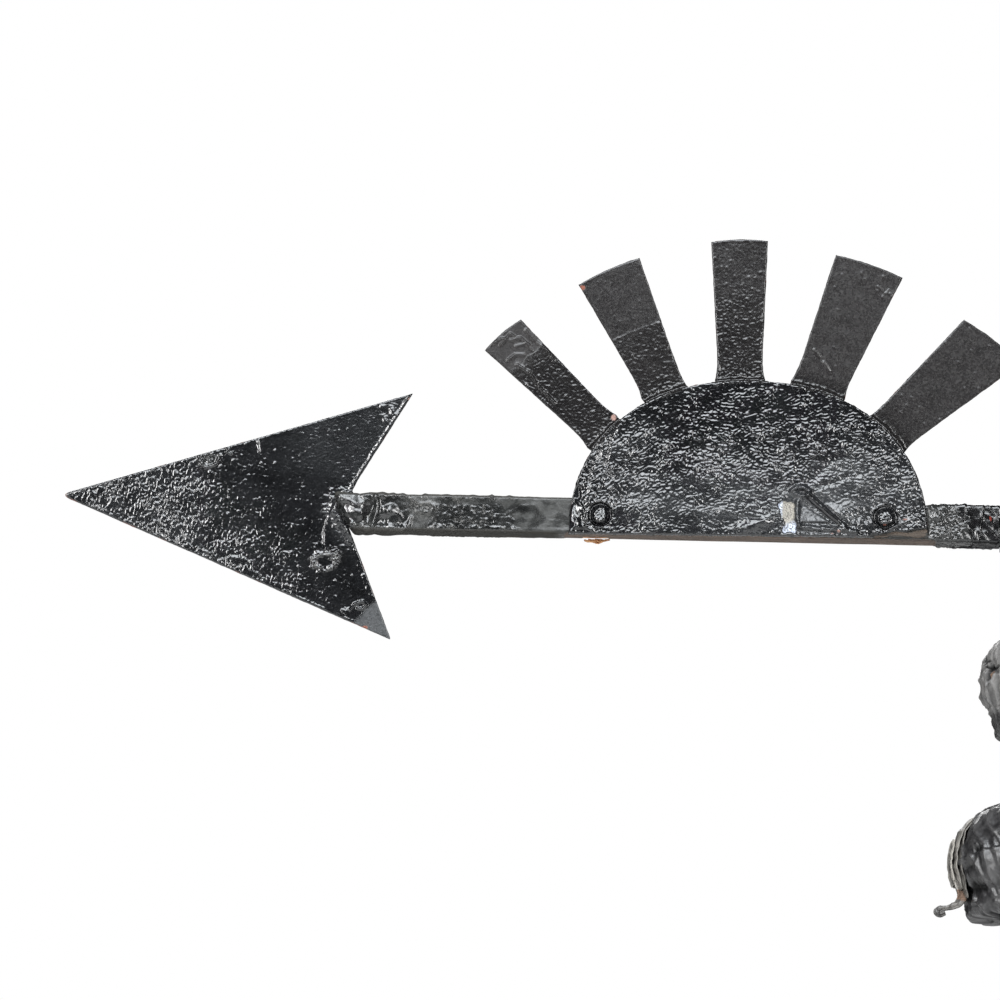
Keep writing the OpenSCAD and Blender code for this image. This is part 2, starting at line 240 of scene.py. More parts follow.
def triangulate(edge, inner):
    m = len(edge)
    pts = np.concatenate([edge, inner]) if len(inner) else edge
    got = delaunay_2d_cdt([Vector(p) for p in pts.tolist()], [(i, (i + 1) % m) for i in range(m)], [], 1, 1e-6)
    xy = np.array([tuple(v) for v in got[0]])
    tri = np.array(got[2], np.int64)
    to_out = {}
    for i, src in enumerate(got[3]):
        for s in src:
            to_out[s] = i
    a, b, c = (xy[tri[:, k]] for k in range(3))
    area = (b[:, 0] - a[:, 0]) * (c[:, 1] - a[:, 1]) - (b[:, 1] - a[:, 1]) * (c[:, 0] - a[:, 0])
    tri[area < 0] = tri[area < 0][:, ::-1]
    return xy, tri[np.abs(area) > 1e-9], np.array([to_out[i] for i in range(m)])


def plate(name, poly, y_front, y_back, mat, front, back, step=0.8, back_step=1.3, jitter=0.22, seed=1, rim=0.9):
    """A sheet cut to poly in x and z, with rounded edges. front and back take x, z and the distance to the edge, and give the height of the paint in mm and its masks."""
    poly = [tuple(p) for p in poly]
    area = sum(poly[i][0] * poly[(i + 1) % len(poly)][1] - poly[(i + 1) % len(poly)][0] * poly[i][1] for i in range(len(poly)))
    if area < 0:
        poly = poly[::-1]
    edge = dense(poly, step)
    out = np.roll(edge, -1, 0) - np.roll(edge, 1, 0)
    out /= np.linalg.norm(out, axis=1)[:, None]
    out = np.stack([out[:, 1], -out[:, 0]], 1)
    s = np.cumsum(np.linalg.norm(edge - np.roll(edge, 1, 0), axis=1))
    wob = 0.7 * n2(s, s * 0 + seed, 9.0, 1.0, seed) + 0.5 * n2(s, s * 0 + seed, 2.6, 1.0, seed + 3)
    wavy = edge + out * (wob * jitter)[:, None]

    def side(h, st, y_side):
        rings = []
        for r in (0.22, 0.6):
            p = edge - out * r
            d = line_dist(p[:, 0], p[:, 1], poly, True)
            ok = (d > 0.85 * r) & inside(p[:, 0], p[:, 1], poly)
            q = (wavy - out * r)[ok]
            rings.append(q[:: 1 if r < 0.5 else (1 if st < 1.1 else 2)])
        lo, hi = np.min(poly, 0) - st, np.max(poly, 0) + st
        xs, zs = np.arange(lo[0], hi[0], st), np.arange(lo[1], hi[1], st * 0.866)
        X, Z = np.meshgrid(xs, zs)
        X = X + (np.arange(len(zs)) % 2)[:, None] * st / 2
        X, Z = X.ravel(), Z.ravel()
        keep = inside(X, Z, poly)
        X, Z = X[keep], Z[keep]
        far = line_dist(X, Z, poly, True) > 0.6 + 0.62 * st
        lattice = np.stack([X[far], Z[far]], 1)
        xy, tri, ring = triangulate(wavy, np.concatenate(rings + [lattice]))
        d = line_dist(xy[:, 0], xy[:, 1], poly, True)
        d[ring] = 0
        k = np.clip(d / rim, 0, 1)
        e = np.sqrt(np.clip(1 - (1 - k) ** 2, 0, 1))
        height, masks = h(xy[:, 0], xy[:, 1], d)
        thick = (y_back - y_front) / 2
        y = (y_front + y_back) / 2 + y_side * (thick * (0.4 + 0.6 * e) + height * np.maximum(e, 0.12))
        return np.stack([xy[:, 0], y, xy[:, 1]], 1), tri, ring, masks

    vf, tf, rf, mf = side(front, step, -1)
    vb, tb, rb, mb = side(back, back_step, 1)
    n = len(vf)
    rb = rb + n
    walls = np.stack([rf, np.roll(rf, -1), np.roll(rb, -1), rb], 1)[:, ::-1]
    attrs = {}
    for key in set(mf) | set(mb):
        attrs[key] = np.concatenate([np.broadcast_to(mf.get(key, 0.0), (n,)), np.broadcast_to(mb.get(key, 0.0), (len(vb),))])
    o = make(name, np.concatenate([vf, vb]), [tf, tb[:, ::-1] + n, walls], mat, attrs)
    return o


def grid_tube(rows, cols, wrap=True):
    """Faces of a grid of rows x cols points, closed round its columns."""
    r, c = np.meshgrid(np.arange(rows - 1), np.arange(cols if wrap else cols - 1), indexing="ij")
    a = r * cols + c
    b = r * cols + (c + 1) % cols
    return np.stack([a, b, b + cols, a + cols], -1).reshape(-1, 4)


# ---------------------------------------------------------------- materials

class Nodes:
    def __init__(self, name):
        self.mat = bpy.data.materials.new(name)
        self.mat.use_nodes = True
        self.t = self.mat.node_tree
        self.t.nodes.clear()
        self.out = self.t.nodes.new("ShaderNodeOutputMaterial")
        self.p = self.t.nodes.new("ShaderNodeBsdfPrincipled")
        self.t.links.new(self.p.outputs[0], self.out.inputs[0])
        self.co = self.t.nodes.new("ShaderNodeTexCoord").outputs["Object"]

    def link(self, a, b):
        if isinstance(a, (int, float)):
            b.default_value = a
        elif isinstance(a, (tuple, list)):
            b.default_value = tuple(a) + ((1.0,) if len(a) == 3 and len(b.default_value) == 4 else ())
        else:
            self.t.links.new(a, b)

    def attr(self, name):
        n = self.t.nodes.new("ShaderNodeAttribute")
        n.attribute_name = name
        return n.outputs["Fac"]

    def stretch(self, x, y, z):
        n = self.t.nodes.new("ShaderNodeMapping")
        n.inputs["Scale"].default_value = (x, y, z)
        self.link(self.co, n.inputs["Vector"])
        return n.outputs[0]

    def noise(self, size_mm, detail=3.0, rough=0.55, co=None, distort=0.0):
        n = self.t.nodes.new("ShaderNodeTexNoise")
        self.link(co or self.co, n.inputs["Vector"])
        n.inputs["Scale"].default_value = 1000.0 / size_mm
        n.inputs["Detail"].default_value = detail
        n.inputs["Roughness"].default_value = rough
        n.inputs["Distortion"].default_value = distort
        return n.outputs["Fac"]

    def cells(self, size_mm, feature="F1", co=None):
        n = self.t.nodes.new("ShaderNodeTexVoronoi")
        n.feature = feature
        self.link(co or self.co, n.inputs["Vector"])
        n.inputs["Scale"].default_value = 1000.0 / size_mm
        return n.outputs["Distance"]

    def math(self, op, a, b=0.0, c=0.0, clamp=False):
        n = self.t.nodes.new("ShaderNodeMath")
        n.operation = op
        n.use_clamp = clamp
        for v, s in zip((a, b, c), n.inputs):
            self.link(v, s)
        return n.outputs[0]

    def step(self, x, low, high, a=0.0, b=1.0):
        n = self.t.nodes.new("ShaderNodeMapRange")
        n.interpolation_type = "SMOOTHSTEP"
        self.link(x, n.inputs["Value"])
        for k, v in zip(("From Min", "From Max", "To Min", "To Max"), (low, high, a, b)):
            n.inputs[k].default_value = v
        return n.outputs[0]

    def mix(self, f, a, b):
        n = self.t.nodes.new("ShaderNodeMix")
        n.data_type = "RGBA"
        self.link(f, n.inputs[0])
        self.link(a, n.inputs[6])
        self.link(b, n.inputs[7])
        return n.outputs[2]

    def mixf(self, f, a, b):
        n = self.t.nodes.new("ShaderNodeMix")
        n.data_type = "FLOAT"
        self.link(f, n.inputs[0])
        self.link(a, n.inputs[2])
        self.link(b, n.inputs[3])
        return n.outputs[0]

    def bump(self, height, mm, normal=None, strength=1.0):
        n = self.t.nodes.new("ShaderNodeBump")
        n.inputs["Distance"].default_value = mm * MM
        n.inputs["Strength"].default_value = strength
        self.link(height, n.inputs["Height"])
        if normal is not None:
            self.link(normal, n.inputs["Normal"])
        return n.outputs[0]

    def done(self, color, rough, normal=None, metal=0.0, spec=0.5):
        self.link(color, self.p.inputs["Base Color"])
        self.link(rough, self.p.inputs["Roughness"])
        self.link(metal, self.p.inputs["Metallic"])
        if spec is not None:
            self.p.inputs["Specular IOR Level"].default_value = spec
        if normal is not None:
            self.link(normal, self.p.inputs["Normal"])
        return self.mat


def paint(name, dark=(0.0020, 0.0021, 0.0024), light=(0.0050, 0.0052, 0.0058), film=(0.030, 0.032, 0.034),
          gloss=0.13, flat=0.34, fine=0.012, grit=0.003, spec=0.5, matt_mask=False):
    """Black bitumen paint. Masks on the mesh: film (flat grey skin, on the sun's lower half also a painted sheen),
    rust, pink (primer), zinc, wood, fresh (new wood), dust.
    """
    n = Nodes(name)
    big = n.noise(22, 4)
    mid = n.noise(3.2, 4, 0.6)
    tiny = n.noise(0.9, 3, 0.6)
    speck = n.noise(0.35, 2, 0.5)
    cloud = n.math("ADD", n.math("MULTIPLY", big, 0.6), n.math("MULTIPLY", mid, 0.4))
    color = n.mix(n.step(cloud, 0.38, 0.62), dark, light)

    def mask(key, spread=0.55, soft=0.16, size=None):
        edge = n.noise(size, 4, 0.65) if size else mid
        m = n.math("ADD", n.attr(key), n.math("MULTIPLY", n.math("SUBTRACT", edge, 0.5), spread))
        return n.step(m, 0.5 - soft, 0.5 + soft)

    f = n.math("ADD", n.attr("film"), n.math("MULTIPLY", n.math("SUBTRACT", mid, 0.5), n.math("MULTIPLY", n.attr("film"), 0.9)), clamp=True)
    color = n.mix(f, color, n.mix(n.step(tiny, 0.36, 0.64), tuple(c * 0.66 for c in film), tuple(c * 1.25 for c in film)))
    dust = n.math("MULTIPLY", n.attr("dust"), n.step(n.noise(1.4, 3, 0.7), 0.45, 0.7))
    color = n.mix(n.math("MULTIPLY", dust, 0.5), color, (0.22, 0.215, 0.20))
    rust = mask("rust")
    color = n.mix(rust, color, n.mix(tiny, (0.045, 0.014, 0.009), (0.18, 0.055, 0.030)))
    pink = mask("pink")
    color = n.mix(pink, color, n.mix(tiny, (0.10, 0.06, 0.05), (0.27, 0.165, 0.14)))
    zinc = mask("zinc", 0.8, 0.10, 2.2)
    zcol = n.mix(n.step(n.noise(0.9, 4, 0.75), 0.42, 0.55), (0.045, 0.042, 0.037), (0.235, 0.222, 0.192))
    zcol = n.mix(n.attr("blue"), zcol, n.mix(n.step(n.noise(1.3, 4, 0.75), 0.46, 0.54), (0.06, 0.064, 0.072), (0.40, 0.44, 0.52)))
    color = n.mix(zinc, color, zcol)
    grainco = n.stretch(0.055, 1.0, 1.0)
    grain = n.noise(2.1, 5, 0.7, grainco, 0.6)
    fibre = n.noise(0.55, 3, 0.7, n.stretch(0.02, 1.0, 1.0))
    wood = mask("wood", 0.45, 0.12)
    wcol = n.mix(n.step(grain, 0.38, 0.62), (0.032, 0.0205, 0.0145), (0.100, 0.068, 0.048))
    wcol = n.mix(n.math("MULTIPLY", n.step(fibre, 0.50, 0.72), 0.8), wcol, (0.022, 0.015, 0.011))
    color = n.mix(wood, color, wcol)
    fresh = mask("fresh", 0.3, 0.1)
    color = n.mix(fresh, color, n.mix(n.step(fibre, 0.35, 0.62), (0.62, 0.36, 0.17), (0.27, 0.10, 0.035)))
    bare = n.math("MAXIMUM", n.math("MAXIMUM", rust, pink), n.math("MAXIMUM", zinc, n.math("MAXIMUM", wood, fresh)))
    # matt: bare wood made matt; on the shaft also painted shading, a flat grey tone with little specular given to faces
    # by the way they point
    matt = n.attr("matt")
    color = n.mix(n.math("MULTIPLY", matt, 0.8), color, (0.036, 0.0348, 0.0315))
    n.p.inputs["Specular IOR Level"].default_value = spec
    if matt_mask:
        n.link(n.mixf(matt, spec, 0.05), n.p.inputs["Specular IOR Level"])
    r = n.mixf(f, n.mixf(tiny, gloss - 0.06, gloss + 0.07), n.mixf(mid, flat - 0.06, flat + 0.1))
    r = n.mixf(dust, r, 0.75)
    r = n.mixf(n.math("MAXIMUM", bare, matt), r, 0.72)
    h = n.math("ADD", n.math("MULTIPLY", tiny, 1.0), n.math("MULTIPLY", speck, 0.30))
    soft = n.math("SUBTRACT", 1.0, n.math("MULTIPLY", f, 0.55))
    nor = n.bump(n.math("MULTIPLY", h, soft), fine)
    nor = n.bump(n.math("ADD", n.math("MULTIPLY", grain, wood), n.math("MULTIPLY", fibre, wood)), 0.25, nor)
    nor = n.bump(n.noise(0.16, 1, 0.5), grit, nor)
    return n.done(color, r, nor, spec=None)


def steel(name, tone=(0.42, 0.41, 0.39), rough=0.34, spots=0.5, along=(1, 1, 1)):
    n = Nodes(name)
    a = n.noise(6, 4)
    b = n.noise(1.2, 4, 0.65)
    line = n.noise(0.5, 3, 0.6, n.stretch(*along))
    col = n.mix(n.step(b, 0.35, 0.65), tuple(c * 0.72 for c in tone), tone)
    rust = n.step(n.math("ADD", a, n.math("MULTIPLY", b, 0.5)), 0.92 - 0.12 * spots, 1.0 - 0.05 * spots)
    col = n.mix(rust, col, (0.13, 0.05, 0.02))
    black = n.step(n.noise(3.4, 4, 0.6), 0.60, 0.66)
    col = n.mix(n.math("MULTIPLY", black, 0.85), col, (0.012, 0.012, 0.013))
    cover = n.math("MAXIMUM", rust, black)
    r = n.mixf(cover, n.mixf(line, rough - 0.08, rough + 0.14), 0.6)
    metal = n.mixf(cover, 1.0, 0.0)
    nor = n.bump(n.math("ADD", line, n.math("MULTIPLY", cover, 0.6)), 0.06)
    return n.done(col, r, nor, metal)


def brass(name):
    n = Nodes(name)
    line = n.noise(0.4, 3, 0.6, n.stretch(1, 1, 6))
    stain = n.noise(5, 4)
    col = n.mix(n.step(stain, 0.4, 0.62), (0.60, 0.42, 0.17), (0.24, 0.16, 0.075))
    return n.done(col, n.mixf(line, 0.28, 0.45), n.bump(line, 0.04), 1.0)


def cloth(name, tone=(0.017, 0.017, 0.0175), ridge_tone=(0.060, 0.060, 0.060), gloss=0.22, dry=0.42):
    """Cloth under bitumen. Masks: film (dry grey skin), low (painted shade: near black at the folds' bottoms, in holes
    and slits and on undersides), torn (brown cloth).
    """
    n = Nodes(name)
    mid = n.noise(5, 5, 0.6)
    fine = n.noise(1.1, 4, 0.65)
    speck = n.noise(0.4, 2)
    col = n.mix(n.step(mid, 0.35, 0.65), tuple(c * 0.55 for c in tone), tone)
    f = n.math("ADD", n.attr("film"), n.math("MULTIPLY", n.math("SUBTRACT", mid, 0.5), 0.7), clamp=True)
    col = n.mix(f, col, n.mix(fine, tuple(c * 0.7 for c in ridge_tone), tuple(c * 1.15 for c in ridge_tone)))
    # painted shade: low sets creases, holes and undersides near black
    col = n.mix(n.attr("low"), col, (0.006, 0.006, 0.006))
    warp = n.t.nodes.new("ShaderNodeTexWave")
    warp.inputs["Scale"].default_value = 260
    warp.inputs["Distortion"].default_value = 1.5
    warp.bands_direction = "Z"
    n.link(n.co, warp.inputs["Vector"])
    weft = n.noise(0.9, 2, 0.5, n.stretch(1, 1, 0.3))
    torn = n.step(n.math("ADD", n.attr("torn"), n.math("MULTIPLY", n.math("SUBTRACT", fine, 0.5), 0.8)), 0.42, 0.58)
    weave = n.math("ADD", n.math("MULTIPLY", warp.outputs["Fac"], 0.6), n.math("MULTIPLY", weft, 0.8))
    col = n.mix(torn, col, n.mix(weave, (0.035, 0.020, 0.013), (0.115, 0.072, 0.048)))
    r = n.mixf(f, n.mixf(fine, gloss - 0.05, gloss + 0.10), n.mixf(fine, dry - 0.06, dry + 0.1))
    r = n.mixf(torn, r, 0.85)
    col = n.mix(n.step(n.attr("red"), 0.3, 0.6), col, (0.09, 0.016, 0.011))
    n.link(n.mixf(n.attr("low"), 0.5, 0.08), n.p.inputs["Specular IOR Level"])
    nor = n.bump(n.math("ADD", fine, n.math("MULTIPLY", speck, 0.4)), 0.08)
    nor = n.bump(n.math("MULTIPLY", weave, n.mixf(torn, 0.2, 1.0)), 0.10, nor)
    return n.done(col, r, nor, spec=None)


def floor_mat():
    n = Nodes("pale_floor")
    a = n.noise(400, 3)
    return n.done(n.mix(a, (0.80, 0.80, 0.79), (0.84, 0.84, 0.835)), n.mixf(a, 0.55, 0.7))


M_TAR = paint("tar_paint", matt_mask=True)
M_RAY = paint("ray_paint", dark=(0.0045, 0.0042, 0.0044), light=(0.0070, 0.0065, 0.0066), film=(0.0100, 0.0089, 0.0090), gloss=0.16, flat=0.30, fine=0.03, grit=0.006, spec=0.33)
M_BAR = paint("shaft_paint", dark=(0.004, 0.0042, 0.0043), light=(0.012, 0.0125, 0.0125), film=(0.0182, 0.0190, 0.0178), gloss=0.15, flat=0.42, fine=0.07, matt_mask=True)
M_FIX = paint("fixing_paint", fine=0.06, gloss=0.2)
M_MAST = paint("mast_paint", dark=(0.007, 0.007, 0.0075), light=(0.018, 0.018, 0.019), film=(0.04, 0.04, 0.041), gloss=0.26, flat=0.45, fine=0.05)
M_CAST = paint("cast_paint", dark=(0.009, 0.009, 0.009), light=(0.022, 0.0215, 0.021), film=(0.05, 0.05, 0.05), gloss=0.32, flat=0.5, fine=0.14, grit=0.05)
M_CLOTH = cloth("tarred_cloth", (0.024, 0.0235, 0.0238), (0.105, 0.102, 0.099), 0.25, 0.42)
M_CLOTH_LOW = cloth("tarred_cloth_wet", (0.0170, 0.0165, 0.0172), (0.070, 0.0685, 0.068), 0.31, 0.44)
M_TAPE = cloth("tarred_tape", (0.005, 0.005, 0.0054), (0.018, 0.018, 0.019), 0.13, 0.30)
M_ZINC = steel("zinc_fixings", (0.46, 0.45, 0.42), 0.38, 0.8)
M_STEEL = steel("bare_steel", (0.50, 0.49, 0.48), 0.26, 0.2, (1, 1, 0.2))
M_BRASS = brass("bush_brass")


# ---------------------------------------------------------------- arrowhead

TIP = np.array([-693.8, 609.2])
UP_BARB, LOW_BARB, NOTCH = (-446.6, 688.4), (-458.6, 509.1), (-499.2, 601.0)


def back_paint(seed, amount=0.42):
    def f(x, z, d):
        h = 0.25 + amount * (0.55 * billow(x, z, 4.5, 3.2, seed) + 0.3 * n2(x, z, 2.6, None, seed + 1) + 0.5 * n2(x, z, 24, 16, seed + 2))
        runs = np.exp(-(((x - np.round(x / 31) * 31 + 5 * n2(x * 0 + np.round(x / 31), z, 1, 60, seed)) / 1.1) ** 2)) * sm(0.1, 0.6, n2(np.round(x / 31) * 3.3, z, 1, 40, seed + 5) + 0.2)
        h = h + 0.35 * runs
        f1, f2, who = cells(x, z, 7, seed + 9)
        h = h + 0.4 * (who > 0.8) * np.exp(-((f1 * 7 / 1.3) ** 2))
        film = sm(-0.15, 0.45, fbm(x, z, 34, 4, seed + 7)) * 0.32
        rust = sm(0.35, 0.5, fbm(x, z, 26, 4, seed + 11)) * sm(0.55, 0.9, who) + sm(0.9, 0.2, d) * sm(0.25, 0.5, n2(x, z, 14, None, seed + 13)) * 0.7
        return h, {"film": film, "rust": rust, "dust": film * 0.5}
    return f


def arrow_front(x, z, d):
    along = x - TIP[0]
    side = z - (609.2 - 0.0436 * along)              # over the arrow's own middle line
    left = sm(190, 60, along + 0.75 * side)           # strongly wrinkled part
    lowp = sm(25, -30, side) * sm(230, 120, along)
    rough = np.clip(0.14 + 0.86 * np.maximum(left, 0.9 * lowp), 0, 1)
    calm = sm(120, 190, along) * sm(5, 40, side)      # smoother skin near the upper barb
    rough = rough * (1 - 0.6 * calm)
    wx, wz = x + 1.2 * n2(x, z, 7, None, 31), z + 1.2 * n2(x, z, 7, None, 32)
    fine = 0.85 * pebbles(wx, wz, 2.2, 4.3, 21, 0.0) + 0.28 * pebbles(wx, wz, 1.6, 2.2, 22, 0.0)
    patchy = 0.75 + 0.4 * sm(-0.35, 0.35, n2(x, z, 16, 11, 26))
    h = 0.3 + 0.86 * rough * patchy * fine + 0.05 * n2(x, z, 18, 12, 24)
    h = h + (0.07 + 0.12 * calm) * (pebbles(wx, wz, 4.8, 2.6, 25, 0.4) + 0.5 * billow(wx, wz, 2.2, 1.8, 27))
    # grit and blisters
    grains = sm(0.45, 0.95, pebbles(wx, wz, 2.5, 2.7, 41, 0.1))
    many = 0.12 + 0.88 * sm(-0.4, 0.3, n2(x, z, 13, 9, 43) + 0.25 - 0.9 * calm)
    h = h + 0.16 * grains * many * (1 - 0.6 * rough) * (1 - 0.55 * calm)
    f1, f2, who = cells(x, z, 6.1, 44)
    h = h + 0.4 * (who > 0.84) * np.exp(-((f1 * 6.1 / (0.6 + 2.5 * (who - 0.84))) ** 2)) * (1 - 0.5 * calm)
    # torn skin near the upper edge
    for pts, w, a in (([(-600, 645.5), (-599, 637), (-594, 631), (-587, 633.5), (-584, 640)], 1.0, 0.8),
                      ([(-582, 651), (-579, 643), (-576, 641)], 0.8, 0.7),
                      ([(-590, 650), (-585, 646)], 0.9, 0.5), ([(-557, 651), (-556, 643)], 0.8, 0.5),
                      ([(-546, 665), (-540, 667)], 1.0, 0.6)):
        h = h + a * welt(x, z, pts, w)
    h = h - 0.25 * blob(x, z, -593, 641, 5, 4)
    # crusty ring under the shaft's nose
    ring = np.abs(np.hypot(x + 507.5, (z - 565) * 1.25) - 7.5 - 3.5 * n2(x, z, 7, None, 51))
    crust = np.exp(-((ring / 2.6) ** 2)) * sm(-0.55, 0.1, n2(x, z, 5, None, 53)) + 0.6 * blob(x, z, -500, 570, 6, 4)
    h = h + crust * (0.25 + 0.95 * pebbles(x, z, 2.3, 1.9, 52, 0.4))
    h = h + 0.9 * welt(x, z, [(-488.5, 530), (-485, 534.5), (-479.5, 536.5), (-476.5, 533.5), (-479.5, 530.5), (-483, 531.5)], 0.9) + 0.6 * blob(x, z, -492, 529, 3.2, 2.2)
    # a thin drip from the nose
    h = h + 0.5 * welt(x, z, [(-502.5, 602), (-506.5, 594), (-508.5, 586), (-508.5, 577)], 0.75)
    # paint that has run along the notch's upper edge, and the folds by the upper barb
    up_edge = line_dist(x, z, [NOTCH, UP_BARB])
    h = h + 0.75 * np.exp(-(((up_edge - 1.2) / 1.1) ** 2)) * sm(612, 622, z) * (0.7 + 0.5 * n2(x, z, 6, None, 61))
    h = h + 0.9 * blob(x, z, -460.5, 674, 2.6, 5.5, 25) + 0.7 * blob(x, z, -466, 668, 2.4, 4, 30) + 0.5 * blob(x, z, -468, 678, 2.2, 2.0)
    low_edge = line_dist(x, z, [NOTCH, LOW_BARB])
    h = h + 0.35 * np.exp(-(((low_edge - 1.0) / 1.0) ** 2)) * (0.6 + 0.6 * n2(x, z, 5, None, 62))
    rim = line_dist(x, z, [tuple(TIP), UP_BARB])
    h = h + 0.12 * np.exp(-(((rim - 1.0) / 0.9) ** 2)) * sm(-0.3, 0.4, n2(x, z, 10, None, 63))
    rim2 = line_dist(x, z, [tuple(TIP), LOW_BARB])
    h = h + 0.28 * np.exp(-(((rim2 - 0.9) / 0.8) ** 2)) * sm(-0.3, 0.5, n2(x, z, 9, None, 64))
    # paint that has built up against the nose of the shaft
    nose = line_dist(x, z, [(-488.8, 583.9), (-501.3, 601), (-499, 607), (-493, 611), (-484, 613)])
    h = h + 2.4 * np.exp(-((nose / 3.6) ** 2)) + 0.5 * np.exp(-((nose / 9) ** 2)) * billow(x, z, 5, 3, 65)
    # a flat grey skin at the lower barb
    patch = sm(-1.2, 1.2, (x + 488) * 0.70 - (z - 519.5) * 0.71 + 1.6 * n2(x, z, 6, None, 71)) * sm(-492, -486, x)
    h = np.where(patch > 0, h * (1 - 0.85 * patch) + 0.12 * patch, h)
    h = h + 0.35 * np.exp(-((np.abs(patch - 0.5) / 0.3) ** 2)) * (patch > 0.02) * (patch < 0.98)
    film = np.maximum(1.0 * patch, 0.16 * calm + 0.03 * sm(0.0, 0.5, n2(x, z, 20, None, 72)))
    film = np.maximum(film, 0.35 * np.exp(-((nose / 8) ** 2)))
    film = np.maximum(film, 0.16 * left * (0.5 + 0.5 * sm(-0.3, 0.3, n2(x, z, 14, None, 73))))
    rust = np.maximum(blob(x, z, -477.4, 517.6, 2.2, 1.6), blob(x, z, -641.9, 584.4, 2.4, 0.9, -20))
    rust = np.maximum(rust, sm(0.9, 0.0, d) * sm(0.15, 0.45, n2(x, z, 11, None, 74)) * 0.62)
    pink = np.maximum(blob(x, z, -448.5, 683, 1.8, 2.4, 30), 0.9 * sm(1.1, 0.1, d) * sm(-690, -694, x))
    return h, {"film": film, "rust": rust, "pink": pink, "dust": 0.5 * crust + 0.5 * blob(x, z, -594, 637, 6)}


head = rounded([(TIP[0] - 3.9, TIP[1] + 0.15), LOW_BARB, (-490.4, 589.5), (-435, 589.5), (-435, 610.5), (-482.0, 610.5), (-483.4, 612.9), (-486.9, 613.6), (-488.6, 616.6), (-485.2, 624.0), UP_BARB],
               [2.8, 0.8, 0, 0, 0, 0, 0.5, 1.2, 1.5, 0, 0.5])
o = plate("arrowhead_plate", head, -1.0, 1.0, M_TAR, arrow_front, back_paint(3), 0.56, 1.15, 0.24, 5, rim=0.7)
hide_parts("arrowhead"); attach(o, "vane")


# ---------------------------------------------------------------- sun

def disc_point(a):
    p = 2 / 2.2
    x = 128.5 * math.copysign(abs(math.cos(a)) ** p, math.cos(a))
    z = 113.0 * abs(math.sin(a)) ** p
    t = math.radians(0.5)
    return SUN_X + x * math.cos(t) - z * math.sin(t), LOW_Z + x * math.sin(t) + z * math.cos(t)


DISC = [disc_point(math.pi * i / 90) for i in range(91)]
DISC_ARC = DISC[:]
RAYS = [
    [(-97.6, 84.7), (-114.3, 64.0), (-190.8, 131.3), (-165.5, 154.3)],
    [(-47.2, 106.8), (-75.7, 99.6), (-124.6, 180.5), (-81.4, 201.0)],
    [(7.7, 113.7), (-23.1, 113.1), (-30.1, 213.7), (10.6, 215.3)],
    [(65.1, 101.9), (31.3, 113.5), (59.4, 206.2), (107.6, 190.5)],
    [(108.8, 65.1), (84.1, 85.6), (151.9, 161.0), (193.3, 130.0)],
]
BOLTS = [(-106.0, 13.2), (97.7, 15.2)]


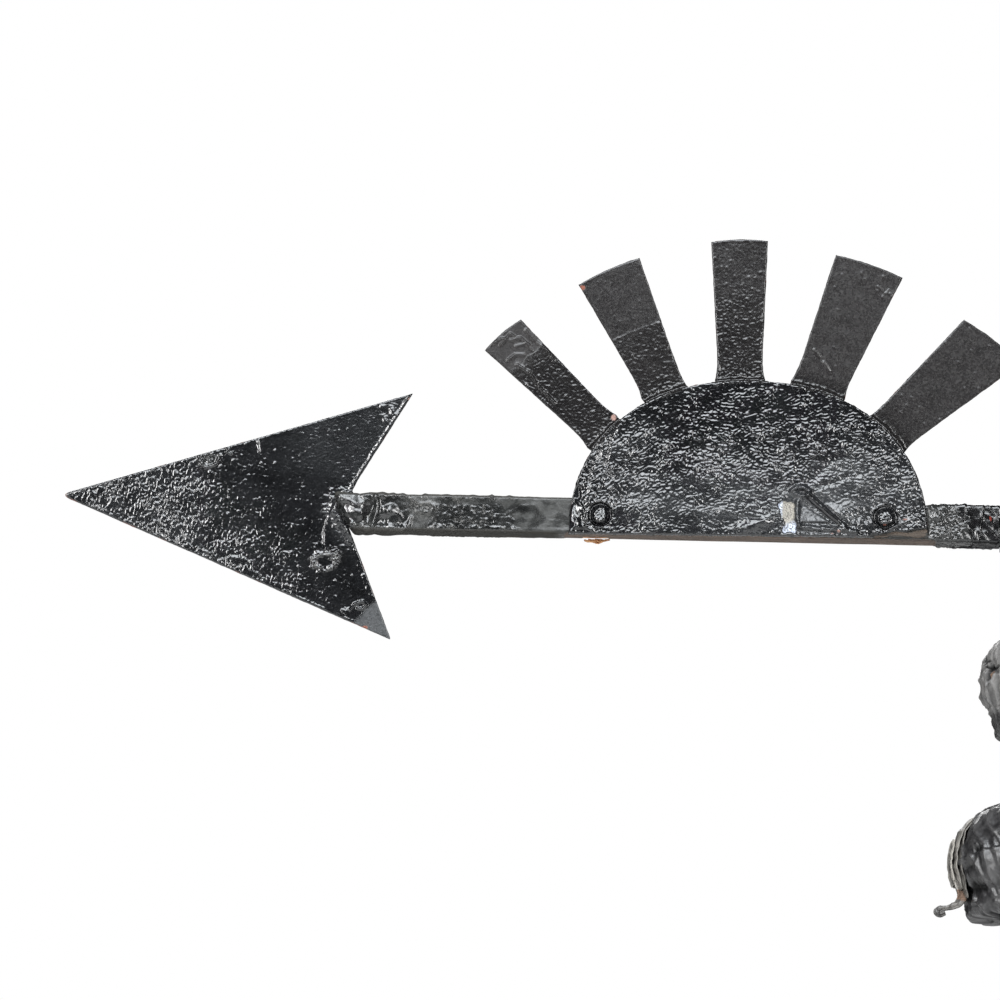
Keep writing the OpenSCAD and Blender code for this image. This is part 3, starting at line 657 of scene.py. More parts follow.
def disc_front(x, z, d):
    u, v = x - SUN_X, z - LOW_Z
    wx, wz = x + 1.6 * n2(x, z, 11, None, 101), z + 1.6 * n2(x, z, 11, None, 102)
    # the wrinkles lean: steep at the left edge, level in the middle and the right
    wu, wv = wx - SUN_X, wz - LOW_Z
    steep = sm(-30, -85, u + 14 * n2(x, z, 16, None, 105))
    fine, slow = 0, 0
    for lean, share in ((0.75, steep), (-0.06, 1 - steep)):
        a, b = (wu + wv * lean) / math.hypot(1, lean), (wv - wu * lean) / math.hypot(1, lean)
        fine = fine + share * (0.80 * pebbles(a, b, 3.7, 2.6, 103, 0.8) + 0.22 * pebbles(a, b, 2.1, 1.8, 104, 0.3))
        slow = slow + share * (0.85 * pebbles(a, b, 5.6, 3.4, 106, 1.2) + 0.35 * pebbles(a, b, 2.9, 2.1, 107, 0.5))
    smooth_low = blob(u, v, 5, 14, 72, 17) + 0.7 * blob(u, v, 60, 34, 48, 16)
    smooth_low = np.clip(smooth_low, 0, 1)
    h = 0.45 + (1.0 * fine * (1 - 0.5 * smooth_low) + 0.9 * slow * smooth_low)
    h = h * (0.78 + 0.34 * sm(-0.3, 0.4, n2(x, z, 17, 12, 108))) * (1 - 0.42 * sm(58, 95, v))
    h = h + 0.16 * n2(x, z, 22, 14, 109) + 0.9 * n2(x, z, 30, 20, 150) * sm(80, 50, v) + 1.2 * sm(60, 0, v)
    f1, f2, who = cells(x, z, 5.1, 111)
    h = h + 0.35 * (who > 0.8) * np.exp(-((f1 * 5.1 / 1.2) ** 2)) * (1 - smooth_low)
    # long creases
    for pts, w, k in (([(-304, 669.4), (-311.9, 652), (-313, 640)], 1.3, -0.7),
                      ([(-300, 667), (-306, 650), (-306.5, 636), (-303, 628)], 1.2, -0.6),
                      ([(-316, 640), (-321, 620), (-324, 606)], 1.2, -0.5),
                      ([(-215, 592), (-196, 597), (-180, 607)], 1.1, 0.35),
                      ([(-210, 600.5), (-195, 600), (-183, 602)], 0.9, -0.5),
                      ([(-160, 629), (-146, 643), (-134, 646)], 3.0, -0.5),
                      ([(-157, 624), (-143, 627), (-136, 631)], 2.0, -0.5)):
        h = h + k * welt(x, z, pts, w)
    # folded skin at the left corner
    fold = sm(11, 5, line_dist(x, z, [(-333, 614), (-331, 590)]))
    facet = np.abs(u + 121 - 0.45 * (v - 12)) * 0.34
    h = h * (1 - 0.9 * fold) + fold * (2.2 - facet + 0.10 * (605 - z) + 1.2 * ridge(x + 0.8 * z, z, 9, 18, 112))
    h = h + 0.9 * welt(x, z, [(-330.5, 613), (-324, 606), (-321.5, 598), (-323, 592)], 1.1) + 0.7 * welt(x, z, [(-330, 590.5), (-321, 591), (-316, 589)], 1.2)
    # paint round the two bolt heads
    for bx, bz in BOLTS:
        r = np.hypot(u - bx, v - bz)
        lump = 1 + 0.05 * n2(x, z, 3.0, None, 140) + 0.08 * n2(x, z, 7.0, None, 141)
        lump = lump + 0.05 * np.cos(2 * np.arctan2(v - bz, u - bx) + bx)
        dome = 3.75 * np.clip(1 - (r * lump / 6.9) ** 6, 0, 1)
        head = np.sqrt(np.clip(99.4 - r * r, 0, None)) - 6.45
        h = h * (0.35 + 0.65 * sm(7.2, 9.5, r)) - 0.9 * np.exp(-(((r * lump - 7.6) / 0.8) ** 2))
        h = np.maximum(np.maximum(h, head), (dome - 0.17 * (v - bz) * (r < 6.6)) * (1 + 0.22 * pebbles(x, z, 3.6, 2.6, 142, 0.8) + 0.05 * n2(x, z, 5, None, 144)))
        h = h + 0.6 * np.exp(-(((r * lump - 9.2) / 0.9) ** 2)) * sm(-0.3, 0.5, n2(x, z, 6, None, 113))
    # paint over the clinched nail, and the runs that hang from it
    nail = line_dist(x, z, [(-135.8, 594.7), (-162.5, 617.1)])
    wire = 3.9 * np.sqrt(np.clip(1 - (nail / (2.9 + 0.4 * n2(x, z, 8, None, 145))) ** 2, 0, 1))
    h = np.maximum(h - 0.4 * np.exp(-(((nail - 4.0) / 1.1) ** 2)), wire * (1 + 0.06 * n2(x, z, 4, None, 143)))
    web = [(-167.5, 611.0), (-164.5, 609.6), (-145, 597.6), (-168.0, 597.2)]
    tri = inside(x, z, web) * sm(0.0, 1.2, line_dist(x, z, web, True))
    sheen = np.clip(1.2 * blob(x, z, -147.5, 607.5, 12, 4.2, -38) * sm(2.4, 4.5, line_dist(x, z, [(-135.8, 594.7), (-162.5, 617.1)])) * (x + z > 448), 0, 1)
    sheen = np.maximum(sheen, 0.9 * blob(x, z, -199, 596, 13, 4.0, 22))
    h = h * (1 - 0.85 * sheen) + sheen * (1.0 + 0.19 * (614 - z) + 0.7 * n2(x, z, 8, 5, 146))
    h = h * (1 - tri) + tri * (1.1 + 0.23 * (610 - z) + 0.8 * n2(x, z, 7, 4, 114) + 0.25 * billow(x, z, 3.4, 2.4, 121))
    h = h + 2.3 * welt(x, z, [(-170.0, 613), (-170.3, 603), (-169.0, 596.0)], 1.9) - 0.9 * welt(x, z, [(-173.4, 611), (-173.8, 603), (-172.6, 594.0)], 1.0)
    h = h + 2.0 * welt(x, z, [(-169.6, 594.6), (-156, 593.4), (-138, 593.0), (-128, 591.5)], 2.0) - 0.6 * welt(x, z, [(-168, 591.6), (-150, 590.6), (-130, 589.5)], 0.9)
    h = h + 0.9 * blob(x, z, -139, 606, 7, 5, -30) + 0.7 * blob(x, z, -125, 597, 9, 3.5, -12) + 0.6 * welt(x, z, [(-158, 589.6), (-154, 593.0), (-150, 589.6)], 0.8)
    curl = line_dist(x, z, [(-174.5, 620.0), (-171.5, 622.7), (-166, 623.2), (-162.0, 620.6), (-162.4, 617.4), (-167.8, 616.8), (-172.0, 618.6)])
    h = h + 2.6 * np.exp(-((curl / 1.7) ** 2)) - 0.9 * blob(x, z, -168, 619.8, 2.6, 1.3) + 0.8 * blob(x, z, -166.5, 613.6, 3.2, 2.4)
    # runs along the base
    base = np.exp(-((v / 4.2) ** 2)) * sm(10, 50, u) * sm(128, 118, u)
    h = h + base * (0.5 + 1.1 * billow(x, z, 7, 3.0, 115))
    h = h + 0.8 * welt(x, z, [(-104, 594.5), (-94, 599), (-86, 603), (-80, 599)], 1.3) + 0.5 * blob(x, z, -86, 596.5, 6, 4)
    # bead along the arc
    arc = line_dist(x, z, DISC_ARC)
    h = h + 0.4 * np.exp(-(((arc - 1.6 - 0.8 * n2(x, z, 7, None, 120)) / 1.1) ** 2)) * sm(-0.25, 0.35, n2(x, z, 8, None, 116))
    bare = [(-184.2, 612.5), (-178, 613.4), (-172.2, 612), (-172.0, 603), (-171.2, 596), (-170.0, 590.0), (-181.0, 590.0), (-179.2, 597), (-183.0, 604)]
    zd = np.where(inside(x, z, bare), 1, -1) * line_dist(x, z, bare, True) + 0.9 * n2(x, z, 3.2, None, 122) + 0.6 * n2(x, z, 1.4, None, 123)
    zinc = sm(-0.6, 1.0, zd)
    h = h * (1 - 0.8 * zinc) + zinc * (0.1 + 0.28 * billow(x, z, 1.6, 1.4, 117))
    blue = sm(599.5, 594.5, z - 0.35 * (x + 176)) + sm(-179.6, -182.5, x)
    # grey skin on the lower half: partly the paint's own flat grey skin, partly a painted sheen that lightens the lower
    # half
    film = 0.55 * np.clip(blob(u, v, 10, 18, 88, 26) + 0.75 * blob(u, v, 75, 40, 44, 24) + 0.3 * blob(u, v, -95, 50, 30, 40), 0, 1)
    film = film * (0.55 + 0.5 * sm(-0.25, 0.35, n2(x, z, 26, 9, 118)))
    film = np.maximum(film, 1.0 * tri)
    film = film * (1 - 0.8 * np.exp(-((nail / 3.4) ** 2)))
    for bx, bz in BOLTS:
        r = np.hypot(u - bx, v - bz)
        film = film * sm(8, 13, r)
    pink = np.maximum(0.75 * blob(x, z, -140.5, 591.8, 1.9, 1.2, -20), 0.6 * blob(x, z, -145, 590, 1.8, 1.0))
    rust = np.maximum(0.62 * blob(x, z, -93, 601.4, 3.0, 1.4), 0.62 * blob(x, z, -107.3, 597.0, 2.6, 0.9))
    rust = np.maximum(rust, 0.6 * sm(0.8, 0.0, d) * sm(0.2, 0.5, n2(x, z, 9, None, 119)))
    # paint has come away from the wood under the disc's right corner
    gone = sm(-0.5, 1.5, (589.4 + (x + 118) * 0.17) - z + 1.4 * n2(x, z, 8, 4, 147)) * sm(-121, -112, x) * sm(-73.5, -78, x)
    h = h * (1 - 0.85 * gone) + gone * 0.15 * billow(x, z, 6, 1.4, 148)
    masks = {"matt": 0.8 * gone, "film": film * (1 - gone), "pink": pink, "rust": rust, "zinc": zinc, "blue": np.clip(blue, 0, 1), "wood": gone * (0.50 + 0.9 * n2(x, z, 9, 3, 149))}
    return h, masks


o = plate("sun_disc_plate", DISC, -14.7, -12.7, M_TAR, disc_front, back_paint(8), 0.60, 1.3, 0.62, 9, rim=0.8)
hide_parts("sun_disc"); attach(o, "vane")


def ray_outline(r, bulge=1.6, tuck=22.0, flare=2.6):
    r0, r1, t0, t1 = (np.array(p, float) + (SUN_X, LOW_Z) for p in r)
    def into(root, tip, d):
        v = root - tip
        return root + v / np.linalg.norm(v) * d
    across = (r0 - r1) / np.linalg.norm(r0 - r1)
    n = np.array([-(t1 - t0)[1], (t1 - t0)[0]]); n /= np.linalg.norm(n)
    if n @ (t0 - r1) < 0:
        n = -n
    tip = [t0 + (t1 - t0) * k + n * 4 * bulge * k * (1 - k) for k in np.linspace(0, 1, 13)]
    def side(root, tipc, way):
        # from the tip's corner down to the root, flared where the paint fills the corner
        pts = []
        for k in (0.80, 0.88, 0.94, 0.98, 1.0):
            q = tipc + (root - tipc) * k
            w = flare * max(0, (k - 0.80) / 0.20) ** 2.5
            pts.append(q + across * way * w)
        return pts
    right = side(r0, t1, 1)
    left = side(r1, t0, -1)
    return [tuple(p) for p in left[::-1] + tip[0:13] + right + [into(r0, t1, tuck), into(r1, t0, tuck)]]


def ray_front(i):
    r0, r1, t0, t1 = (np.array(p, float) + (SUN_X, LOW_Z) for p in RAYS[i])
    mid_r, mid_t = (r0 + r1) / 2, (t0 + t1) / 2
    ax = (mid_t - mid_r) / np.linalg.norm(mid_t - mid_r)
    length = np.linalg.norm(mid_t - mid_r)

    def f(x, z, d):
        p = (x - mid_r[0]) * ax[0] + (z - mid_r[1]) * ax[1]          # along the ray from its root
        q = -(x - mid_r[0]) * ax[1] + (z - mid_r[1]) * ax[0]         # across it
        seed = 200 + 20 * i
        wx, wz = x + 1.0 * n2(x, z, 8, None, seed), z + 1.0 * n2(x, z, 8, None, seed + 1)
        fine = 0.75 * pebbles(wx, wz, 2.8, 2.2, seed + 2, 0.5) + 0.4 * pebbles(wx, wz, 1.7, 1.5, seed + 3, 0.2)
        pw = p + 9 * n2(x, z, 13, None, seed + 17)
        gritty = [sm(80, 62, p) * 0.75, 0.20 + 0.38 * sm(56, 38, pw), 0.36 + 0.45 * sm(78, 40, pw), 0.08 + 0.12 * sm(20, 4, pw), 0.14 + 0.2 * sm(24, 4, pw)][i]
        h = 0.22 + 0.62 * gritty * fine + 0.10 * n2(x, z, 12, 12, seed + 5)
        f1, f2, who = cells(x, z, 5.5, seed + 6)
        h = h + 0.38 * (who > (0.72, 0.8, 0.7, 0.9, 0.86)[i]) * np.exp(-((f1 * 5.5 / 0.9) ** 2)) * (0.5 + 0.5 * gritty)
        film = np.clip(0.75 * (1 - gritty) * (0.9 + 0.3 * n2(x, z, 7, None, seed + 16)), 0, 1) * np.ones_like(x)
        masks = {}
        pink = np.zeros_like(x)
        rust = 0.55 * sm(0.8, 0.0, d) * sm(0.25, 0.55, n2(x, z, 9, None, seed + 8))
        if i == 0:
            torn = sm(0.0, 0.8, p - 76 - 3.5 * n2(x, z, 9, None, seed + 9))
            h = h * (1 - torn) + torn * (0.12 + 0.05 * n2(x, z, 9, None, seed + 10))
            for pts, w, a in (([(-391, 723), (-384, 727.5), (-378, 726), (-371, 728.5), (-364, 723)], 0.8, 0.9),
                              ([(-385, 722.4), (-378, 731), (-375, 729)], 0.8, 1.0), ([(-379.2, 711.7), (-374, 716), (-368, 716)], 0.9, 0.8),
                              ([(-372.7, 708.7), (-364, 703), (-356, 692), (-345, 681)], 1.0, 0.8),
                              ([(-367, 734), (-361, 727), (-353, 721), (-346, 712)], 0.9, 0.7),
                              ([(-374, 722), (-367, 724), (-362, 719)], 0.7, 0.6)):
                h = h + a * welt(x, z, pts, w)
            h = h - 0.35 * blob(x, z, -358.8, 727, 2.2, 2.6) - 0.2 * blob(x, z, -371, 714, 4, 3)
            film = np.where(torn > 0.5, 0.95, film * 0.6)
            pink = 0.8 * blob(x, z, -302.8, 671.5, 2.4, 3.0)
        if i == 1:
            band = sm(0.0, 0.7, p - 49.5 - 1.6 * n2(x, z, 10, None, seed + 9))
            h = h * (1 - 0.5 * band) + 0.10 * band
            h = h + 0.45 * np.exp(-(((p - 49.5 - 1.6 * n2(x, z, 10, None, seed + 9)) / 0.8) ** 2)) * blob(x, z, -301, 740, 9, 8)
            rust = np.maximum(rust, blob(x, z, -327, 765.5, 2.6, 2.0))
            film = film * (0.75 + 0.25 * band)
        if i == 3:
            for pts, w, a in (([(-160, 724), (-156, 719)], 0.8, 0.5), ([(-153, 715), (-149, 709)], 0.8, 0.5),
                              ([(-115, 771), (-110, 766), (-106, 766), (-104, 761)], 0.6, 0.35), ([(-112, 763), (-107, 769)], 0.5, 0.3)):
                h = h + a * welt(x, z, pts, w)
        edge_l = np.exp(-(((d - 1.0) / 0.8) ** 2))
        h = h + 0.35 * edge_l * sm(-0.2, 0.5, n2(x, z, 8, None, seed + 11)) * (0.25 + gritty)
        # the paint bridges the step from the ray up to the disc
        arc = line_dist(x, z, DISC_ARC)
        out = ~inside(x, z, DISC)
        reach = 1.5 + 0.8 * n2(x, z, 6, None, seed + 15)
        rise = 2.3 * np.exp(-((np.maximum(arc - 0.2, 0) / reach) ** 2))
        lumps = np.exp(-((arc / (9, 9, 11, 3.5, 4.5)[i]) ** 2)) * (0.6 * pebbles(wx, wz, 2.7, 2.1, seed + 12, 0.5) - 0.15)
        h = np.where(out, h + rise + lumps, (2.35 + lumps + 0.1) * sm(4.2, 2.0, arc) + 0.05)
        film = film * sm(3, 14, np.where(out, arc, 0))
        masks.update(film=film, rust=rust, pink=pink, dust=0.12 * (1 - gritty))
        return h, masks
    return f


for i in range(5):
    poly = rounded(ray_outline(RAYS[i]), 0.0)
    o = plate(f"sun_ray_{i + 1}_plate", poly, -12.7, -10.7, M_RAY, ray_front(i), back_paint(20 + 3 * i), 0.72, 1.1, 0.30, 30 + i, rim=0.7)
    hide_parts(f"sun_ray_{i + 1}"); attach(o, "vane")



# ---------------------------------------------------------------- tail fin

def tail_front(seed):
    def f(x, z, d):
        wx, wz = x + 1.5 * n2(x, z, 12, None, seed), z + 1.5 * n2(x, z, 12, None, seed + 1)
        zone = sm(-0.25, 0.35, fbm(x, z, 60, 2, seed + 2))
        fine = 0.6 * billow(wx, wz, 4.4, 3.0, seed + 3) + 0.35 * billow(wx, wz, 2.6, 2.2, seed + 4)
        h = 0.3 + (0.16 + 0.62 * zone) * fine + 0.15 * n2(x, z, 25, 15, seed + 5)
        f1, f2, who = cells(x, z, 6.5, seed + 6)
        h = h + 0.45 * (who > 0.8) * np.exp(-((f1 * 6.5 / 1.2) ** 2))
        rim = np.exp(-(((d - 1.2) / 1.1) ** 2))
        h = h + 0.4 * rim * sm(-0.2, 0.4, n2(x, z, 12, None, seed + 7))
        bar = np.abs(z - BAR_Z) - HALF
        h = h + 1.6 * np.exp(-((np.abs(bar) / 2.2) ** 2)) * (x < 541) * (0.7 + 0.5 * n2(x, z, 9, None, seed + 8))
        rust = sm(0.9, 0.0, d) * sm(0.15, 0.45, n2(x, z, 13, None, seed + 9)) * 0.65
        return h, {"film": 0.5 * (1 - zone) * sm(-0.3, 0.3, n2(x, z, 35, 20, seed + 10)), "rust": rust}
    return f


TAIL = [(302, 600), (372, 718), (632, 718), (562, 600), (632, 482), (372, 482)]
o = plate("tail_fin_plate", rounded(TAIL, [2, 2, 1.5, 2, 1.5, 2]), -0.75, 0.75, M_TAR, tail_front(400), tail_front(430), 1.12, 1.45, 0.3, 12, rim=0.7)
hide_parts("tail_fin"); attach(o, "vane")


# ---------------------------------------------------------------- closed skins over rings of points

def normals(P, loop):
    du = np.roll(P, -1, 1) - np.roll(P, 1, 1)
    dv = (np.roll(P, -1, 0) - np.roll(P, 1, 0)) if loop else np.gradient(P, axis=0)
    N = np.cross(du, dv)
    return N / np.maximum(np.linalg.norm(N, axis=2), 1e-9)[..., None]


def volume(P, F):
    v = P.reshape(-1, 3)
    a, b, c, d = (v[F[:, k]] for k in range(4))
    return (np.einsum("ij,ij->i", a, np.cross(b, c)).sum() + np.einsum("ij,ij->i", a, np.cross(c, d)).sum()) / 6


def skin(name, P, mat, H=None, attrs=None, loop=False):
    """A closed skin through rows of rings, moved out by H mm. loop joins the last row to the first; otherwise both ends are capped."""
    rows, cols = P.shape[:2]
    Q = np.concatenate([P, P[:1]]) if loop else P
    F = grid_tube(Q.shape[0], cols)
    out = 1.0 if volume(Q, F) > 0 else -1.0
    if loop:
        F = np.where(F >= rows * cols, F - rows * cols, F)
    if H is not None:
        P = P + out * normals(P, loop) * H[..., None]
    verts = P.reshape(-1, 3)
    if out < 0:
        F = F[:, ::-1]
    faces = [F]
    attrs = {k: np.broadcast_to(v, (rows, cols)).ravel() for k, v in (attrs or {}).items()}
    if not loop:
        n = rows * cols
        verts = np.concatenate([verts, [P[0].mean(0), P[-1].mean(0)]])
        i = np.arange(cols)
        j = (i + 1) % cols
        first = np.stack([np.full(cols, n), j, i], 1)
        last = np.stack([np.full(cols, n + 1), i + n - cols, j + n - cols], 1)
        if out < 0:
            first, last = first[:, ::-1], last[:, ::-1]
        faces += [first, last]
        attrs = {k: np.concatenate([v, [v[0], v[-1]]]) for k, v in attrs.items()}
    return make(name, verts, faces, mat, attrs)


def flap(name, P, thick, mat, attrs=None):
    """A closed thin sheet: P is rows x cols x 3, its middle surface."""
    nu, nv = P.shape[:2]
    N = np.cross(np.gradient(P, axis=1), np.gradient(P, axis=0))
    N /= np.maximum(np.linalg.norm(N, axis=2), 1e-9)[..., None]
    t = np.broadcast_to(thick, (nu, nv))[..., None] / 2
    A, B = (P + N * t), (P - N * t)
    n = nu * nv
    F = grid_tube(nu, nv, False)
    border = np.concatenate([np.arange(nv), np.arange(1, nu) * nv + nv - 1, (nu - 1) * nv + np.arange(nv - 2, -1, -1), np.arange(nu - 2, 0, -1) * nv])
    nxt = np.roll(border, -1)
    walls = np.stack([border, nxt, nxt + n, border + n], 1)
    verts = np.concatenate([A.reshape(-1, 3), B.reshape(-1, 3)])
    attrs = {k: np.tile(np.broadcast_to(v, (nu, nv)).ravel(), 2) for k, v in (attrs or {}).items()}
    faces = [F, F[:, ::-1] + n, walls[:, ::-1]]
    tri = np.concatenate([np.stack([q[:, 0], q[:, 1], q[:, 2]], 1) for q in faces] + [np.stack([q[:, 0], q[:, 2], q[:, 3]], 1) for q in faces])
    a, b, c = (verts[tri[:, k]] for k in range(3))
    if np.einsum("ij,ij->i", a, np.cross(b, c)).sum() < 0:
        faces = [q[:, ::-1] for q in faces]
    return make(name, verts, faces, mat, attrs)


def curve(points, n):
    """A smooth line of n points through points."""
    p = np.array(points, float)
    q = np.concatenate([[2 * p[0] - p[1]], p, [2 * p[-1] - p[-2]]])
    out = []
    for t in np.linspace(0, len(p) - 1, n):
        i = min(int(t), len(p) - 2)
        u = t - i
        a, b, c, d = q[i], q[i + 1], q[i + 2], q[i + 3]
        out.append(0.5 * (2 * b + (c - a) * u + (2 * a - 5 * b + 4 * c - d) * u * u + (3 * b - a - 3 * c + d) * u**3))
    return np.array(out)


def even(points, step):
    """A line with its points step apart."""
    p = np.array(points, float)
    s = np.concatenate([[0], np.cumsum(np.linalg.norm(np.diff(p, axis=0), axis=1))])
    t = np.linspace(0, s[-1], max(2, int(round(s[-1] / step)) + 1))
    return np.stack([np.interp(t, s, p[:, k]) for k in range(p.shape[1])], 1)


# ---------------------------------------------------------------- shaft

def b3(x, y, z, s, seed=0):
    s = (s, s, s) if not hasattr(s, "__len__") else s
    return np.clip(np.abs(perlin3(x / s[0], y / s[1], z / s[2], seed)) * 2.1, 0, 1)


def square_ring(half, r, front=32, top=18, back=16, bottom=20, arc=4):
    pts = []
    c = half - r
    for k in range(front + 1):
        pts.append((-half, -c + 2 * c * k / front, -1, 0))
    for k in range(1, arc):
        a = math.radians(180 - 90 * k / arc)
        pts.append((-c + r * math.cos(a), c + r * math.sin(a), math.cos(a), math.sin(a)))
    for k in range(top + 1):
        pts.append((-c + 2 * c * k / top, half, 0, 1))
    for k in range(1, arc):
        a = math.radians(90 - 90 * k / arc)
        pts.append((c + r * math.cos(a), c + r * math.sin(a), math.cos(a), math.sin(a)))
    for k in range(back + 1):
        pts.append((half, c - 2 * c * k / back, 1, 0))
    for k in range(1, arc):
        a = math.radians(-90 * k / arc)
        pts.append((c + r * math.cos(a), -c + r * math.sin(a), math.cos(a), math.sin(a)))
    for k in range(bottom + 1):
        pts.append((c - 2 * c * k / bottom, -half, 0, -1))
    for k in range(1, arc):
        a = math.radians(-90 - 90 * k / arc)
        pts.append((-c + r * math.cos(a), -c + r * math.sin(a), math.cos(a), math.sin(a)))
    return np.array(pts)


def build_shaft():
    ring = square_ring(HALF, 1.5)
    rows = []
    for k in np.linspace(0.05, 0.80, 13):
        rows.append((-1.2 * (1 - (k / 0.8) ** 2), k * 0.985))
    R = 2.6
    u = np.concatenate([[0, 0.12, 0.35, 0.7, 1.1, 1.6, 2.1], np.arange(2.7, 172, 0.8), np.arange(172.8, 418, 1.55), np.arange(418.5, 450, 0.7), np.arange(450.8, 1035, 1.55), [1036.2, 1037.5, 1038.6, 1039.6, 1040.3, 1040.75, 1041.0]])
    for v in u:
        k = 1.0
        if v < R:
            k = 1 - (R - math.sqrt(max(R * R - (R - v) ** 2, 0))) / HALF
        if 1041 - v < 1.5:
            w = 1041 - v
            k = 1 - (1.5 - math.sqrt(max(2.25 - (1.5 - w) ** 2, 0))) / HALF
        rows.append((v, k))
    for k in np.linspace(0.85, 0.05, 10):
        rows.append((1041.0, k))
    U = np.array(rows)
    y = U[:, 1:2] * ring[None, :, 0]
    z = BAR_Z + U[:, 1:2] * ring[None, :, 1]
    fade = np.clip(1 - U[:, :1] / 32, 0, 1)
    x = -501 + U[:, :1] + (BAR_Z + HALF - z) * math.tan(math.radians(29)) * fade
    P = np.stack([x, y, z], -1)
    ny, nz = ring[None, :, 2], ring[None, :, 3]
    front, top, back, under = (np.clip(a, 0, 1) ** 2 * np.ones_like(x) for a in (-ny, nz, ny, -nz))

    # how the batten itself is: sawn, slightly worn at its edges
    h = 0.10 * perlin3(x / 60, y / 9, z / 9, 501) + 0.05 * perlin3(x / 25, y / 1.6, z / 1.6, 502)
    nose = sm(-440, -456, x)
    xn = x + 9 * perlin3(x / 11, y / 9, z / 7, 520)
    lumpy = sm(-446, -458, xn)
    rough = sm(-444, -430, xn) * sm(-370, -384, xn)
    calm = sm(-384, -368, xn) * sm(-352, -358, x)
    matte = sm(-360, -348, xn)
    wx = x + 1.3 * perlin3(x / 8, y / 8, z / 8, 503)
    wz = z + 1.3 * perlin3(x / 8, y / 8, z / 8, 504)
    fine = 0.7 * b3(wx, y, wz, (2.2, 2.4, 2.7), 505) ** 0.75 + 0.4 * b3(wx, y, wz, (1.6, 1.8, 1.9), 506)
    big = b3(wx, y, wz, (9, 8, 7), 507)
    soft = b3(x, y, z, (15, 12, 11), 521)
    level = sm(608, 604.5, z + 1.5 * perlin3(x / 9, y / 9, z / 9, 522))
    h = h + lumpy * (0.45 * big + 0.6 * soft + 0.10 * fine) + rough * (0.45 + (0.10 + 0.42 * level) * (fine - 0.4) + 0.36 * level * (pebbles(wx, wz, 2.0, 3.0, 523, 0.0) - 0.4)) + calm * (0.25 + 0.12 * big + 0.10 * fine)
    h = h + matte * (0.12 + 0.13 * fine + 0.10 * b3(x, y, z, (14, 5, 5), 508))
    # lumps over the two rivets, and the folds between them
    f = front
    h = h + f * (2.3 * blob(x, z, -486, 600.5, 6.0, 6.4) + 2.2 * blob(x, z, -462, 600.2, 5.6, 5.4))
    h = h + back * (2.3 * blob(x, z, -486, 600, 6.0, 6.0) + 2.2 * blob(x, z, -462, 600, 5.6, 5.6))
    for tx in (335, 425, 515):
        h = h + (front + back) * 2.2 * blob(x, z, tx, 600, 5.4, 5.4)
    h = h + f * (1.9 * welt(x, z, [(-471.5, 610), (-470.3, 604), (-471.6, 596), (-473.5, 590)], 2.0)
                 - 1.2 * blob(x, z, -465.8, 594, 2.6, 6.0) - 1.3 * blob(x, z, -477.0, 597, 2.6, 7.5)
                 + 1.0 * blob(x, z, -481.5, 597, 2.2, 5.5, -12)
                 + 1.2 * blob(x, z, -488, 590.5, 4.5, 2.4) + 1.2 * blob(x, z, -479, 607, 4.0, 2.6)
                 - 1.0 * blob(x, z, -455.0, 591, 6.0, 4.0, 10) + 1.0 * welt(x, z, [(-463, 586.5), (-455, 585.8), (-448, 589), (-446, 596)], 1.1)
                 + 0.7 * welt(x, z, [(-446, 610), (-440, 606), (-433, 607), (-428, 603)], 1.2)
                 + 0.8 * welt(x, z, [(-373, 589.4), (-368.5, 588.6)], 0.8)
                 + 0.16 * welt(x, z, [(-376, 601), (-368, 605.5), (-358, 607), (-354, 603)], 1.2))
    # the nose is one rounded glossy bulb, with a crease under it
    h = h + sm(-487, -496, x) * (0.7 * b3(x, y, z, (7, 6, 6), 509))
    h = h + f * (1.7 * blob(x, z, -492, 607.6, 6.5, 3.0, -12) + 1.1 * welt(x, z, [(-497.5, 603.5), (-493.0, 596.5), (-486.5, 588.8)], 0.9))
    # a thick run along the lower front edge
    low = np.exp(-(((y + 11.6) / 3.0) ** 2)) * np.exp(-(((z - 588) / 2.8) ** 2))
    run = sm(-484, -478, x) * sm(-449.5, -453, x)
    h = h + low * run * (1.9 + 0.6 * perlin3(x / 7, 0.3 + y * 0, z * 0, 510)) + 1.3 * blob(x, z, -452.8, 586.2, 2.0, 2.2) * low
    h = h + low * sm(-449, -440, x) * sm(-60, -75, x) * 0.5 * sm(-0.1, 0.5, perlin3(x / 11, y * 0 + 0.7, z * 0, 511))
    # nubs on the top edge
    edge = np.exp(-(((z - 611.6) / 2.4) ** 2)) * np.exp(-(((y + 11) / 4) ** 2))
    for nx, a, w in ((-467, 1.3, 2.5), (-459, 1.2, 1.8), (-436.5, 1.1, 1.6), (-388.6, 1.3, 1.3), (-421, 0.7, 3), (-402, 0.6, 2.5), (-376, 0.8, 1.8), (-452, 0.9, 2.0)):
        h = h + a * edge * np.exp(-(((x - nx) / w) ** 2))
    h = h + 0.45 * edge * sm(-350, -370, x) * b3(x, y, z, (8, 5, 5), 512)
    # paint climbs onto the disc's lower edge and over the shaft next to the wraps
    right = sm(-78, -73, x) * sm(-40, -50, x)
    h = h + right * (0.3 + 0.25 * big + 1.30 * pebbles(wx, wz, 3.0, 2.6, 524, 0.6)) * (front + top + under)
    h = h + f * (1.1 * blob(x, z, -71, 605, 4.5, 3.5) + 0.9 * blob(x, z, -66, 593, 5.0, 3.0, 20) + 0.8 * welt(x, z, [(-75, 611), (-70, 608), (-64, 611)], 1.3))
    ends = sm(-340, -331, x) * sm(-68, -74, x)
